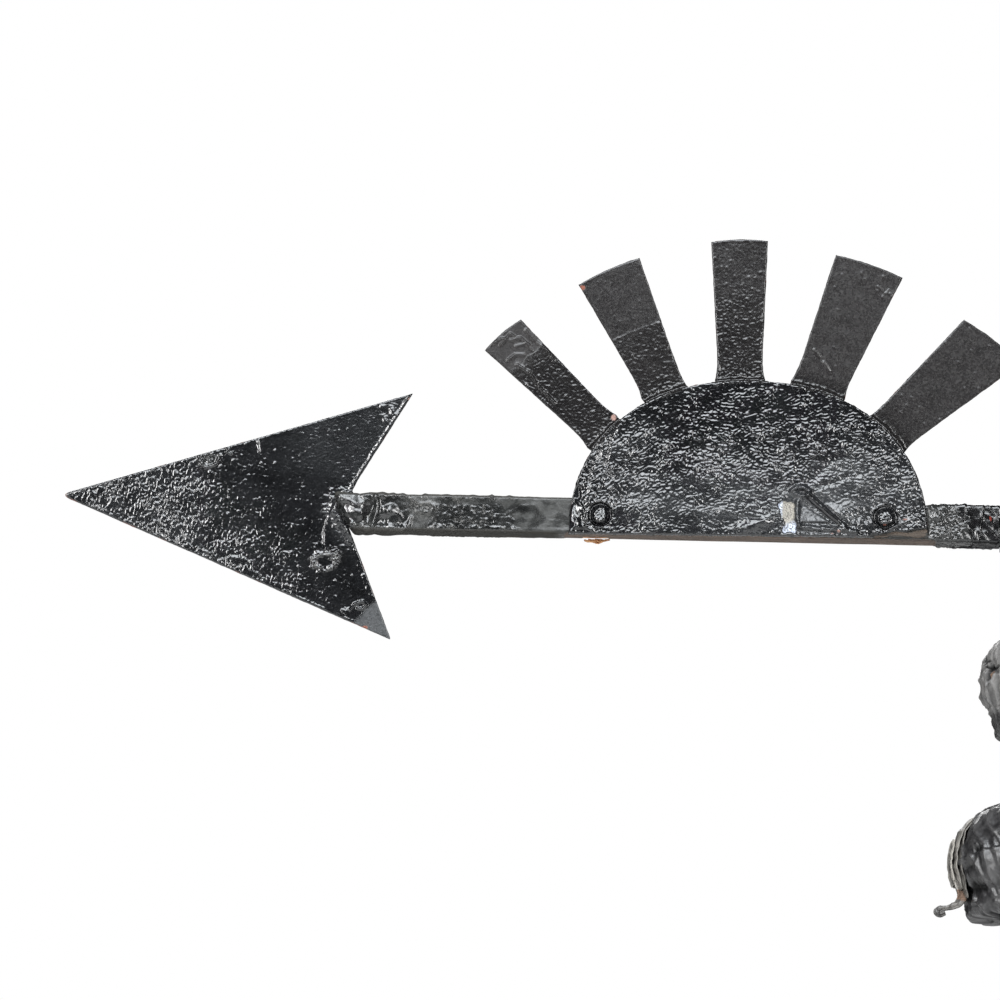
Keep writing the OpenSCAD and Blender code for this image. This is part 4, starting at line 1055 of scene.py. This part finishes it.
    # the bare wood under the sun: open grain and a chip
    grain = perlin3(x / 40, y / 0.9, z / 0.9, 513) + 0.5 * perlin3(x / 22, y / 0.45, z / 0.45, 514)
    bare = under * ends
    h = np.where(bare > 0.3, -0.05 + 0.10 * grain + 0.12 * perlin3(x / 30, y / 5, z / 5, 515), h)
    chip = bare * inside(x, y, [(-322, 3.5), (-318.5, 5), (-310, 4.2), (-304.5, 7), (-303.5, 14), (-323, 14)])
    h = h - chip * (0.7 + 0.5 * grain)
    worn = sm(0.25, 0.45, perlin3(x / 24, y / 7, z / 7, 516)) * (under + 0.6 * back) * sm(-420, -380, x)

    film = 0.66 * np.ones_like(x) - 0.60 * rough * level - 0.30 * lumpy
    film = film + 0.25 * matte - f * 0.8 * (blob(x, z, -455, 593, 7.5, 6.0) + blob(x, z, -466, 595, 3, 8) + blob(x, z, -484, 600, 9, 7) + 0.7 * blob(x, z, -365, 604, 10, 3.2))
    film = film * (0.55 + 0.7 * sm(-0.35, 0.35, perlin3(x / 8, y / 7, z / 6, 517)))
    # painted shading: the underside left of the sun loses its grey skin, and the matt mask below gives it a flat grey
    # tone
    film = film * (1 - 0.75 * under * sm(-335, -345, x))
    film = np.where(x > -75, film * 0.28, film * (1 - 0.45 * nose) * (1 - 0.25 * rough))
    film = film * (1 - 0.8 * low * run)
    dust = f * (0.9 * blob(x, z, -438, 604, 9, 6) + 0.5 * blob(x, z, -478, 589.5, 6, 2.2) + 0.5 * rough * sm(0.1, 0.4, perlin3(x / 5, y / 5, z / 5, 518)))
    wood = np.maximum(np.clip(bare * 1.3, 0, 1) * (0.75 + 0.35 * sm(-0.35, 0.1, perlin3(x / 17, y / 5, z / 5, 519))), 0.55 * worn)
    # painted shading: down-facing faces left of the sun, and the top face left of the tape, get the matt tone by the
    # way they point
    matt = sm(0.15, 0.55, -nz) * sm(-333, -345, x)
    matt = np.maximum(matt, sm(0.15, 0.55, nz) * sm(-75, -80, x))
    o = skin("shaft_batten", P, M_BAR, h, {"film": film, "dust": dust, "wood": wood, "matt": matt, "fresh": np.clip(chip * 1.2, 0, 1)})
    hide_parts("shaft"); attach(o, "vane")
    return o


build_shaft()


def splinters():
    rng = np.random.default_rng(7)
    for i, (x0, x1, y, z, drop) in enumerate(((-321.8, -306.5, 11.4, 587.3, 2.6), (-319.0, -305.5, 10.2, 587.2, 1.7), (-314.0, -303.5, 11.6, 587.3, 1.0))):
        n, m = 26, 7
        P = np.zeros((n, m, 3))
        for a in range(n):
            t = a / (n - 1)
            w = 0.35 + 2.4 * math.sin(math.pi * min(1, t * 1.25 + 0.08)) ** 0.7 if t < 0.78 else 0.25 + 0.9 * (1 - t) / 0.22
            for b in range(m):
                s = b / (m - 1) - 0.5
                P[a, b] = (x0 + (x1 - x0) * t + rng.normal() * 0.06, y + s * w + rng.normal() * 0.04, z - drop * (0.35 + 0.9 * math.sin(math.pi * t) * (0.7 + 0.3 * math.cos(9 * t))) - 0.25 * abs(s) + rng.normal() * 0.04)
        o = flap(f"splinter_{i + 1}", P, 1.3, M_BAR, {"fresh": 1.0})
        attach(o, "vane")


splinters()


# ---------------------------------------------------------------- tape round the shaft

def around(f, th, z, r0):
    """f over arc length and height, without a seam where the angle closes."""
    w = sm(0.84, 1.0, th / (2 * math.pi))
    return f(th * r0, z) * (1 - w) + f((th - 2 * math.pi) * r0, z) * w


def folds(u, z, width, length, slant, seed):
    """Long sharp folds that run mostly along z."""
    a = u + slant * z + 0.45 * width * n2(u, z, width * 2.2, None, seed)
    return ridge(a, z, width, length, seed + 1) ** 2.2


def crumple(u, z, size, seed):
    """Crushed cloth: faceted lumps with sharp creases between them, 0 to 1."""
    a, b = u + 0.35 * size * n2(u, z, size * 0.9, None, seed), z + 0.35 * size * n2(u, z, size * 0.9, None, seed + 1)
    f1, f2, who = cells(a, b, size, seed + 2)
    return np.clip(1 - f1 * 1.05, 0, 1) * (0.65 + 0.5 * who)


def tape(name, x0, x1, flip, seed):
    n = 76
    ring = square_ring(HALF + 1.0, 2.2, 30, 24, 24, 24)
    y, z = ring[:, 0], BAR_Z + ring[:, 1]
    s = np.concatenate([[0], np.cumsum(np.hypot(np.diff(y), np.diff(z)))])
    total = s[-1] + math.hypot(y[0] - y[-1], z[0] - z[-1])
    th = s / total * 2 * math.pi
    rows = []
    # inner wall, then the end's edge, the outside and back again
    t = np.linspace(0, 1, n)
    xs0 = x0 + np.clip((614 - z) / 26, 0, 1) * 15.5 * (y < 5) * (not flip)
    xs0 = xs0 + 1.2 * n2(s, s * 0, 11, 1, seed)
    xs1 = x1 + 1.2 * n2(s, s * 0 + 5, 11, 1, seed + 1) * (1 if flip else 0.15)
    if flip:
        xs0 = x0 + 0.0 * s
    P, H, low = [], [], []
    k_in = (HALF - 0.4) / (HALF + 1.0)
    def row(x, k, h):
        P.append(np.stack([x, y * k, BAR_Z + (z - BAR_Z) * k], 1)); H.append(h * np.ones(len(y)))
    for k in np.linspace(k_in, 1.0, 4):
        row(xs0, k, 0)
    for a in t:
        x = xs0 + (xs1 - xs0) * a
        e = min(1.0, math.sin(math.pi * min(a, 1 - a) * 6) if min(a, 1 - a) < 1 / 12 else 1.0)
        pitch = 13.0
        turn = ((x + (th / (2 * math.pi)) * pitch * (1 if flip else -1)) / pitch) % 1.0
        over = 0.75 * turn * sm(1.0, 0.93, turn)
        lum = around(lambda u, v: 0.8 * crumple(u, v, 9.5, seed + 5) + 0.22 * crumple(u, v, 4.6, seed + 9) + 0.5 * folds(v, u, 8, 16, 0.5, seed + 11), th, x, total / (2 * math.pi))
        h = (-0.5 + over + lum) * (0.25 + 0.75 * e)
        row(x, 1.0, h)
    for k in np.linspace(1.0, k_in, 4):
        row(xs1, k, 0)
    P, H = np.array(P), np.array(H)
    # painted shade: the tape's underside and the bottoms of its folds go near black through low
    bottom = sm(0.2, 0.7, -ring[:, 3])[None, :] * np.ones(H.shape)
    chip = 0.9 * blob(P[..., 0], P[..., 2], -32.0, 603.8, 0.9, 2.2, 10) * (P[..., 1] < 0)
    o = skin(name, P, M_TAPE, H, {"low": np.maximum(sm(0.05, -0.35, H) * 0.8, bottom), "film": 0.3 * sm(0.6, 1.3, H), "red": chip}, loop=True)
    return o


a = tape("shaft_tape_front", -60, -24.6, False, 601)
b = tape("shaft_tape_rear", 24.6, 60, True, 641)
for o in (a, b):
    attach(o, "vane")
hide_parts("shaft_wraps"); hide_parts("shaft_wraps")


# ---------------------------------------------------------------- the two bundles of tarred cloth

def bundle(name, outer, inner, mat, seed, step, cols, relief, sil=None):
    """Cloth bound round a tube: outer and inner are lines of (r, z); relief gives how far out the cloth stands and its masks."""
    out = even(curve(outer, 400), step)
    if sil is not None:
        zs, rs = np.array([p[1] for p in sil]), np.array([p[0] for p in sil])
        order = np.argsort(zs)
        target_r = np.interp(out[:, 1], zs[order], rs[order])
        near = sm(zs.min() - 2, zs.min() + 4, out[:, 1]) * sm(zs.max() + 2, zs.max() - 4, out[:, 1])
        delta = (target_r - out[:, 0]) * near
        delta = np.convolve(np.pad(delta, 4, mode="edge"), np.ones(9) / 9, "valid")
    else:
        delta = np.zeros(len(out))
    inn = even(inner, 3.0)[1:-1]
    th = np.linspace(0, 2 * math.pi, cols, endpoint=False)
    prof = np.concatenate([out, inn])
    delta = np.concatenate([delta, np.zeros(len(inn))])
    n = len(out)
    edge = np.minimum(np.arange(n), n - 1 - np.arange(n)) * step
    amount = np.concatenate([sm(0, 7, edge), np.zeros(len(inn))])
    TH, Z = np.meshgrid(th, prof[:, 1])
    left = np.exp(-(((TH - math.pi) / 0.42) ** 2))
    Rr = prof[:, 0][:, None] + delta[:, None] * left
    h, masks = relief(TH, Z, Rr, left)
    P = np.stack([Rr * np.cos(TH), Rr * np.sin(TH), Z], -1)
    o = skin(name, P, mat, h * amount[:, None], masks, loop=True)
    return o


def upper_relief(th, z, r, left):
    r0 = 34.0
    big = around(lambda u, v: crumple(u, v, 22, 701), th, z, r0)
    mid = around(lambda u, v: crumple(u, v, 9.5, 705), th, z, r0)
    fine = around(lambda u, v: crumple(u, v, 4.2, 709), th, z, r0)
    grain = around(lambda u, v: billow(u, v, 2.2, 2.2, 713), th, z, r0)
    fold = around(lambda u, v: 1.5 * folds(u, v, 13, 34, 0.25, 715) + 0.8 * folds(u, v, 6.5, 20, -0.2, 719), th, z, r0)
    pitch = 24.0
    turn = ((z + th / (2 * math.pi) * pitch) / pitch + 0.08 * np.sin(3 * th)) % 1.0
    over = 2.2 * (turn - 0.5) * sm(1.0, 0.96, turn)
    calm = 1 - 0.55 * left
    h = calm * (2.4 * (big - 0.35)) + 0.9 * (mid - 0.3) + 0.3 * (fine - 0.3) + 0.07 * grain + over * 0.7 * (1 - 0.4 * left) + 1.0 * fold - 1.2
    u, v = (th - math.pi) * r0, z
    # an open fold that shows the cloth inside, and two slits over it
    hole = blob(u, v, 21.5, 489.5, 2.6, 6.2, -18)
    h = h - 4.6 * hole + 1.3 * np.exp(-(((np.sqrt(np.maximum(-np.log(np.maximum(hole, 1e-9)), 0)) - 1.35) / 0.28) ** 2))
    slit = welt(u, v, [(8, 503), (13, 499), (20, 499.5)], 1.0) + welt(u, v, [(16, 496), (24, 493), (30, 495)], 0.9)
    h = h - 1.7 * slit
    h = h + 1.7 * welt(u, v, [(14.4, 488), (16.6, 482), (16.4, 477), (14.2, 471)], 0.9) + 1.0 * welt(u, v, [(-8, 492), (-3, 482), (-6, 472)], 1.6)
    # painted shade: deep folds, the open fold and the slits go near black through low
    low = np.clip(sm(-1.0, -2.6, h) + hole + 0.8 * slit, 0, 1)
    film = np.clip(0.95 * sm(-1.4, 1.0, h) * sm(460, 470, z) + 0.1, 0, 1)
    torn = np.clip(1.3 * blob(u, v, 21.5, 489.5, 1.5, 3.4, -18), 0, 1)
    return h, {"low": low * (1 - torn), "film": film * (1 - hole), "torn": torn}


UP_OUT = [(13.6, 447), (19, 446), (23.6, 447.2), (26.8, 451), (28.6, 457), (30.0, 464), (33.3, 470), (36.6, 477), (38.2, 485), (38.6, 494), (37.2, 502), (34.4, 507.5), (29.5, 512.5), (23.5, 516), (18, 518), (13.6, 518.2)]
UP_IN = [(13.6, 518.2), (13.4, 515), (13.4, 450), (13.6, 447)]
UP_SIL = [(24.6, 449), (26.4, 455), (27.4, 459), (27.8, 463), (31.2, 469), (35.4, 474), (37.2, 479), (36.2, 486), (37.6, 494), (33.8, 505.5), (23.0, 513.5)]
o = bundle("upper_bundle", UP_OUT, UP_IN, M_CLOTH, 700, 0.85, 330, upper_relief, UP_SIL)
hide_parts("upper_wrap"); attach(o, "vane")


def lower_relief(th, z, r, left):
    r0 = 50.0
    big = around(lambda u, v: crumple(u, v, 30, 801), th, z, r0)
    mid = around(lambda u, v: crumple(u, v, 12, 805), th, z, r0)
    fine = around(lambda u, v: crumple(u, v, 5.0, 809), th, z, r0)
    grain = around(lambda u, v: billow(u, v, 2.4, 2.4, 813), th, z, r0)
    fold = around(lambda u, v: 1.7 * folds(u, v, 16, 40, 0.55, 815) + 1.0 * folds(u, v, 8, 24, 0.45, 819), th, z, r0)
    pitch = 34.0
    turn = ((z - th / (2 * math.pi) * pitch) / pitch + 0.06 * np.sin(2 * th + 1)) % 1.0
    over = 3.0 * (turn - 0.5) * sm(1.0, 0.965, turn)
    collar = sm(334, 326, z)
    calm = 1 - 0.5 * left
    h = calm * (2.2 * (big - 0.35)) * (1 - 0.5 * collar) + (1.3 + 1.4 * collar) * (mid - 0.3) + (0.5 + 0.9 * collar) * (fine - 0.3) + 0.10 * grain
    h = h + over * 0.6 * (1 - collar) + 1.1 * fold * (1 - 0.6 * collar) - 1.5
    u, v = (th - math.pi) * r0, z
    hole = np.clip(1.3 * blob(u, v, 17, 336, 4.6, 9.5, 12), 0, 1)
    crack = np.exp(-((line_dist(u, v, [(13, 374), (14.5, 362), (14.0, 350), (16.5, 339)]) / 2.4) ** 2))
    h = h - 8.0 * hole - 4.5 * crack + 1.9 * welt(u, v, [(25.5, 346), (26.0, 335), (30.5, 325), (37, 323)], 1.3) + 1.2 * welt(u, v, [(20, 372), (22, 358), (23, 346)], 1.5)
    # a tight waist over the foot, and dents
    h = h - 2.0 * np.exp(-(((z - 334) / 2.6) ** 2)) * (0.6 + 0.5 * np.sin(2 * th + 0.6))
    for (du, dv, ru, rv, a) in ((20, 372, 5, 7, -1.6), (27, 350, 7, 4, -1.8), (38, 362, 5, 8, -1.5), (33, 338, 7, 4, -1.2), (-16, 352, 6, 9, -1.4)):
        h = h + a * blob(u, v, du, dv, ru, rv)
    # painted shade: deep folds, the hole and the crack go near black through low
    low = np.clip(sm(-1.4, -3.2, h) + 0.9 * hole + crack, 0, 1)
    torn = np.clip(0.62 * blob(u, v, 6, 319.5, 4, 1.6) + 0.6 * blob(u, v, -4, 340, 4, 2.0), 0, 1) * sm(0.1, 0.4, fine)
    film = np.clip(0.36 * sm(-1.2, 1.8, h) * (1 - 0.4 * collar), 0, 1)
    return h, {"low": low * (1 - torn), "film": film * (1 - hole), "torn": torn}


LOW_OUT = [(17.4, 317), (28, 316.0), (38, 316.2), (44.0, 317.6), (47.6, 321), (48.8, 326), (50.0, 332), (53.4, 341), (55.3, 350), (55.2, 361), (53.0, 372), (48.0, 382), (42.0, 389), (34.0, 394.5), (26.0, 398), (18, 400), (9.5, 400.2)]
LOW_IN = [(9.5, 400.2), (8.4, 398), (8.4, 392.3), (14.4, 392), (14.4, 382.5), (22.4, 371), (22.4, 320), (17.4, 319), (17.4, 317)]
LOW_SIL = [(41.5, 316), (44.4, 319), (45.6, 324), (46.2, 331), (49.5, 342), (51.0, 351), (51.2, 360), (50.4, 369), (48.0, 378), (41.0, 386), (32, 393)]
o = bundle("lower_bundle", LOW_OUT, LOW_IN, M_CLOTH_LOW, 800, 0.95, 400, lower_relief, LOW_SIL)
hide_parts("lower_wrap"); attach(o, "mast")


def side_layer(th0, th1, z_low, z_high, lift, seed, n=70, m=60):
    """A loose skin of cloth that stands off the left of the lower bundle."""
    P = np.zeros((n, m, 3))
    film = np.zeros((n, m))
    zs, rs = np.array([p[1] for p in LOW_SIL]), np.array([p[0] for p in LOW_SIL])
    for i in range(n):
        t = i / (n - 1)
        th = math.radians(th0 + (th1 - th0) * t)
        lo = z_low(t) + 1.5 * float(n2(np.array([t * 9.0]), np.array([seed * 1.0]), 1.0, 1.0, seed)[0])
        hi = z_high(t) + 1.2 * float(n2(np.array([t * 9.0]), np.array([seed + 3.0]), 1.0, 1.0, seed)[0])
        v = np.linspace(0, 1, m)
        z = lo + (hi - lo) * v
        r = np.interp(z, zs, rs)
        wav = 1.3 * n2(np.full(m, th * 50), z, 9, 12, seed + 5) + 0.6 * n2(np.full(m, th * 50), z, 4, 4, seed + 6)
        r = r + lift(t, v) + wav
        P[i, :, 0], P[i, :, 1], P[i, :, 2] = r * math.cos(th), r * math.sin(th), z
        film[i] = np.clip(0.35 + 0.4 * wav + 0.75 * sm(0.80, 0.97, t) + 0.4 * sm(0.93, 1.0, v) + 0.4 * sm(0.07, 0.0, v), 0, 1)
    return P, film


def put_sheet(name, P, film, thick, mat, torn=0.0):
    o = flap(name, P, thick, mat, {"film": film, "torn": torn})
    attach(o, "mast")
    return o


M_SKIN = cloth("dry_tarred_cloth", (0.016, 0.0150, 0.0143), (0.25, 0.235, 0.21), 0.35, 0.6)
P, F = side_layer(150, 198, lambda t: 343 - 3 * math.sin(3 * t), lambda t: 369 + 3 * math.sin(2.2 * t), lambda t, v: 5.4 + 0.8 * np.sin(math.pi * v) + 1.2 * t**3, 901)
put_sheet("lower_skin_1", P, F * 1.2, 0.8, M_SKIN)
P, F = side_layer(146, 202, lambda t: 337 - 2 * t, lambda t: 384 + 3 * math.sin(2.2 * t), lambda t, v: 3.4 + 0.7 * np.sin(math.pi * v) * t + 0.9 * t**3, 921)
put_sheet("lower_skin_2", P, F * 0.5, 0.8, M_SKIN)
P, F = side_layer(142, 205, lambda t: 331 - 2 * t, lambda t: 389 + 1.5 * math.sin(2.2 * t), lambda t, v: 1.5 + 0.5 * np.sin(math.pi * v) * t + 0.9 * t**3, 931)
put_sheet("lower_skin_3", P, F * 0.3, 0.8, M_SKIN)


def tail_strip():
    path = curve([(-55.5, -9, 352), (-56.8, -11, 345), (-55.4, -13, 339), (-53.4, -14, 333), (-53.2, -15, 328), (-55.4, -15, 324), (-59.5, -14, 321.6), (-63.5, -13, 320.6), (-67.5, -12, 320.2), (-69.6, -13, 318.4), (-68.0, -15, 316.4), (-64.5, -16, 317.2)], 90)
    n, m = len(path), 14
    t = np.gradient(path, axis=0)
    t /= np.linalg.norm(t, axis=1)[:, None]
    s = np.linspace(0, 1, n)
    width = np.interp(s, [0, 0.25, 0.5, 0.68, 0.85, 1.0], [10.6, 7.5, 5.6, 4.6, 6.2, 4.0])
    P = np.zeros((n, m, 3))
    for i in range(n):
        w = np.cross(t[i], (0, 1, 0))
        w /= np.linalg.norm(w)
        twist = math.radians(-8 + 38 * math.sin(7.5 * s[i]))
        b = w * math.cos(twist) + np.array((0, 1, 0)) * math.sin(twist)
        c = np.cross(t[i], b)
        for j in range(m):
            q = j / (m - 1) - 0.5
            P[i, j] = path[i] + b * q * width[i] + c * (0.9 * (4 * q * q - 0.5)) * width[i] / 6 + 0.75 * (1 - 0.85 * s[i]) * np.array([n2(np.array([s[i] * 60.0]), np.array([q * 4.0]), 3.0, 1.0, 941 + k)[0] for k in range(3)])
    film = np.interp(s, [0, 0.22, 0.3, 0.5, 1], [0.9, 0.7, 0.12, 0.2, 0.05])[:, None] * np.ones((n, m))
    return P, film


P, F = tail_strip()
P = P + np.array([4.6, 0, 2.0]) * np.linspace(1.1, 0.9, len(P))[:, None, None]
TORN = 0.9 * np.exp(-(((np.linspace(0, 1, len(P)) - 0.33) / 0.10) ** 2))[:, None] * np.ones(P.shape[:2])
put_sheet("lower_strip", P, F, 1.3, M_SKIN, torn=TORN)


# ---------------------------------------------------------------- camera, lights, floor

E = math.radians(9.5)
target = Vector((-0.3828, -0.0127, 0.61005))
dist = 9.0
cam_data = bpy.data.cameras.new("camera")
cam_data.sensor_width = 36.0
cam_data.lens = 36.0 * dist / 0.715
cam_data.clip_end = 50
cam = bpy.data.objects.new("camera", cam_data)
bpy.context.scene.collection.objects.link(cam)
look = Vector((0, math.cos(E), math.sin(E)))
cam.location = target - look * dist
cam.matrix_world = Matrix.Translation(cam.location) @ (look.to_track_quat("-Z", "Y").to_matrix() @ Matrix.Rotation(math.radians(1.2), 3, "Z")).to_4x4()
bpy.context.scene.camera = cam

world = bpy.data.worlds.new("studio")
bpy.context.scene.world = world
world.use_nodes = True
wt = world.node_tree
wt.nodes.clear()
path = wt.nodes.new("ShaderNodeLightPath")
see = wt.nodes.new("ShaderNodeBackground"); see.inputs[0].default_value = (1, 1, 1, 1); see.inputs[1].default_value = 1.0
lit = wt.nodes.new("ShaderNodeBackground"); lit.inputs[0].default_value = (0.95, 0.97, 1, 1)
where = wt.nodes.new("ShaderNodeTexCoord")
part = wt.nodes.new("ShaderNodeSeparateXYZ")
wt.links.new(where.outputs["Generated"], part.inputs[0])
behind = wt.nodes.new("ShaderNodeMapRange"); behind.interpolation_type = "SMOOTHSTEP"
for key, value in (("From Min", -0.15), ("From Max", 0.75), ("To Min", 0.02), ("To Max", 0.075)):
    behind.inputs[key].default_value = value
wt.links.new(part.outputs["Y"], behind.inputs["Value"])
wt.links.new(behind.outputs[0], lit.inputs[1])
mixs = wt.nodes.new("ShaderNodeMixShader")
wout = wt.nodes.new("ShaderNodeOutputWorld")
wt.links.new(path.outputs["Is Camera Ray"], mixs.inputs[0])
wt.links.new(lit.outputs[0], mixs.inputs[1])
wt.links.new(see.outputs[0], mixs.inputs[2])
wt.links.new(mixs.outputs[0], wout.inputs[0])


def area(name, at, to, size, power, color=(1, 1, 1)):
    l = bpy.data.lights.new(name, "AREA")
    l.shape = "RECTANGLE"
    l.size, l.size_y = size
    l.energy = power
    l.color = color
    o = bpy.data.objects.new(name, l)
    bpy.context.scene.collection.objects.link(o)
    o.location = at
    o.rotation_euler = (Vector(to) - Vector(at)).to_track_quat("-Z", "Y").to_euler()
    return o


area("front_box", (-0.45, -1.75, 2.10), (-0.35, 0, 0.6), (1.15, 1.30), 74, (0.92, 0.96, 1.0))
area("left_box", (-1.75, -2.1, 1.25), (-0.45, 0, 0.6), (0.42, 1.2), 62)
area("right_box", (1.05, -2.15, 1.30), (-0.2, 0, 0.6), (0.40, 1.0), 38)
area("back_box", (-0.3, 2.2, 1.9), (-0.2, 0, 0.6), (1.6, 1.0), 30)
fill = area("fill_box", (-0.4, -2.4, 1.9), (-0.35, 0, 0.6), (2.4, 1.6), 45)
fill.visible_glossy = False     # it only brightens matt surfaces

fm = floor_mat()
o = make("floor", [(-1900, -1700, 0), (1900, -1700, 0), (1900, 2300, 0), (-1900, 2300, 0)], [[(0, 1, 2, 3)]], fm, smooth=False)

bpy.context.scene.view_settings.view_transform = "Standard"

# ---------------------------------------------------------------- CAD nodes that keep their shape

KEEP = {
    "sun_washers": M_ZINC, "sun_nuts": M_ZINC, "saddle_nuts": M_ZINC,
    "tube_plug": M_STEEL, "thrust_ball": M_STEEL, "spindle": M_STEEL, "drip_collar": M_STEEL, "grub_screw": M_FIX,
    "upper_bush": M_BRASS, "lower_bush": M_BRASS,
    "arrowhead_rivets": M_FIX, "ray_rivets": M_FIX, "sun_bolts": M_FIX, "clinched_nail": M_FIX,
    "tail_rivets": M_FIX, "saddle": M_TAR, "saddle_bolts": M_FIX, "rotor_tube": M_TAR,
    "reducer_coupling": M_CAST, "mast_pipe": M_MAST, "floor_flange": M_CAST,
}
for name, mat in KEEP.items():
    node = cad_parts[name]
    for s in node.material_slots:
        s.material = mat
    if not node.material_slots:
        print("no slot on", name)
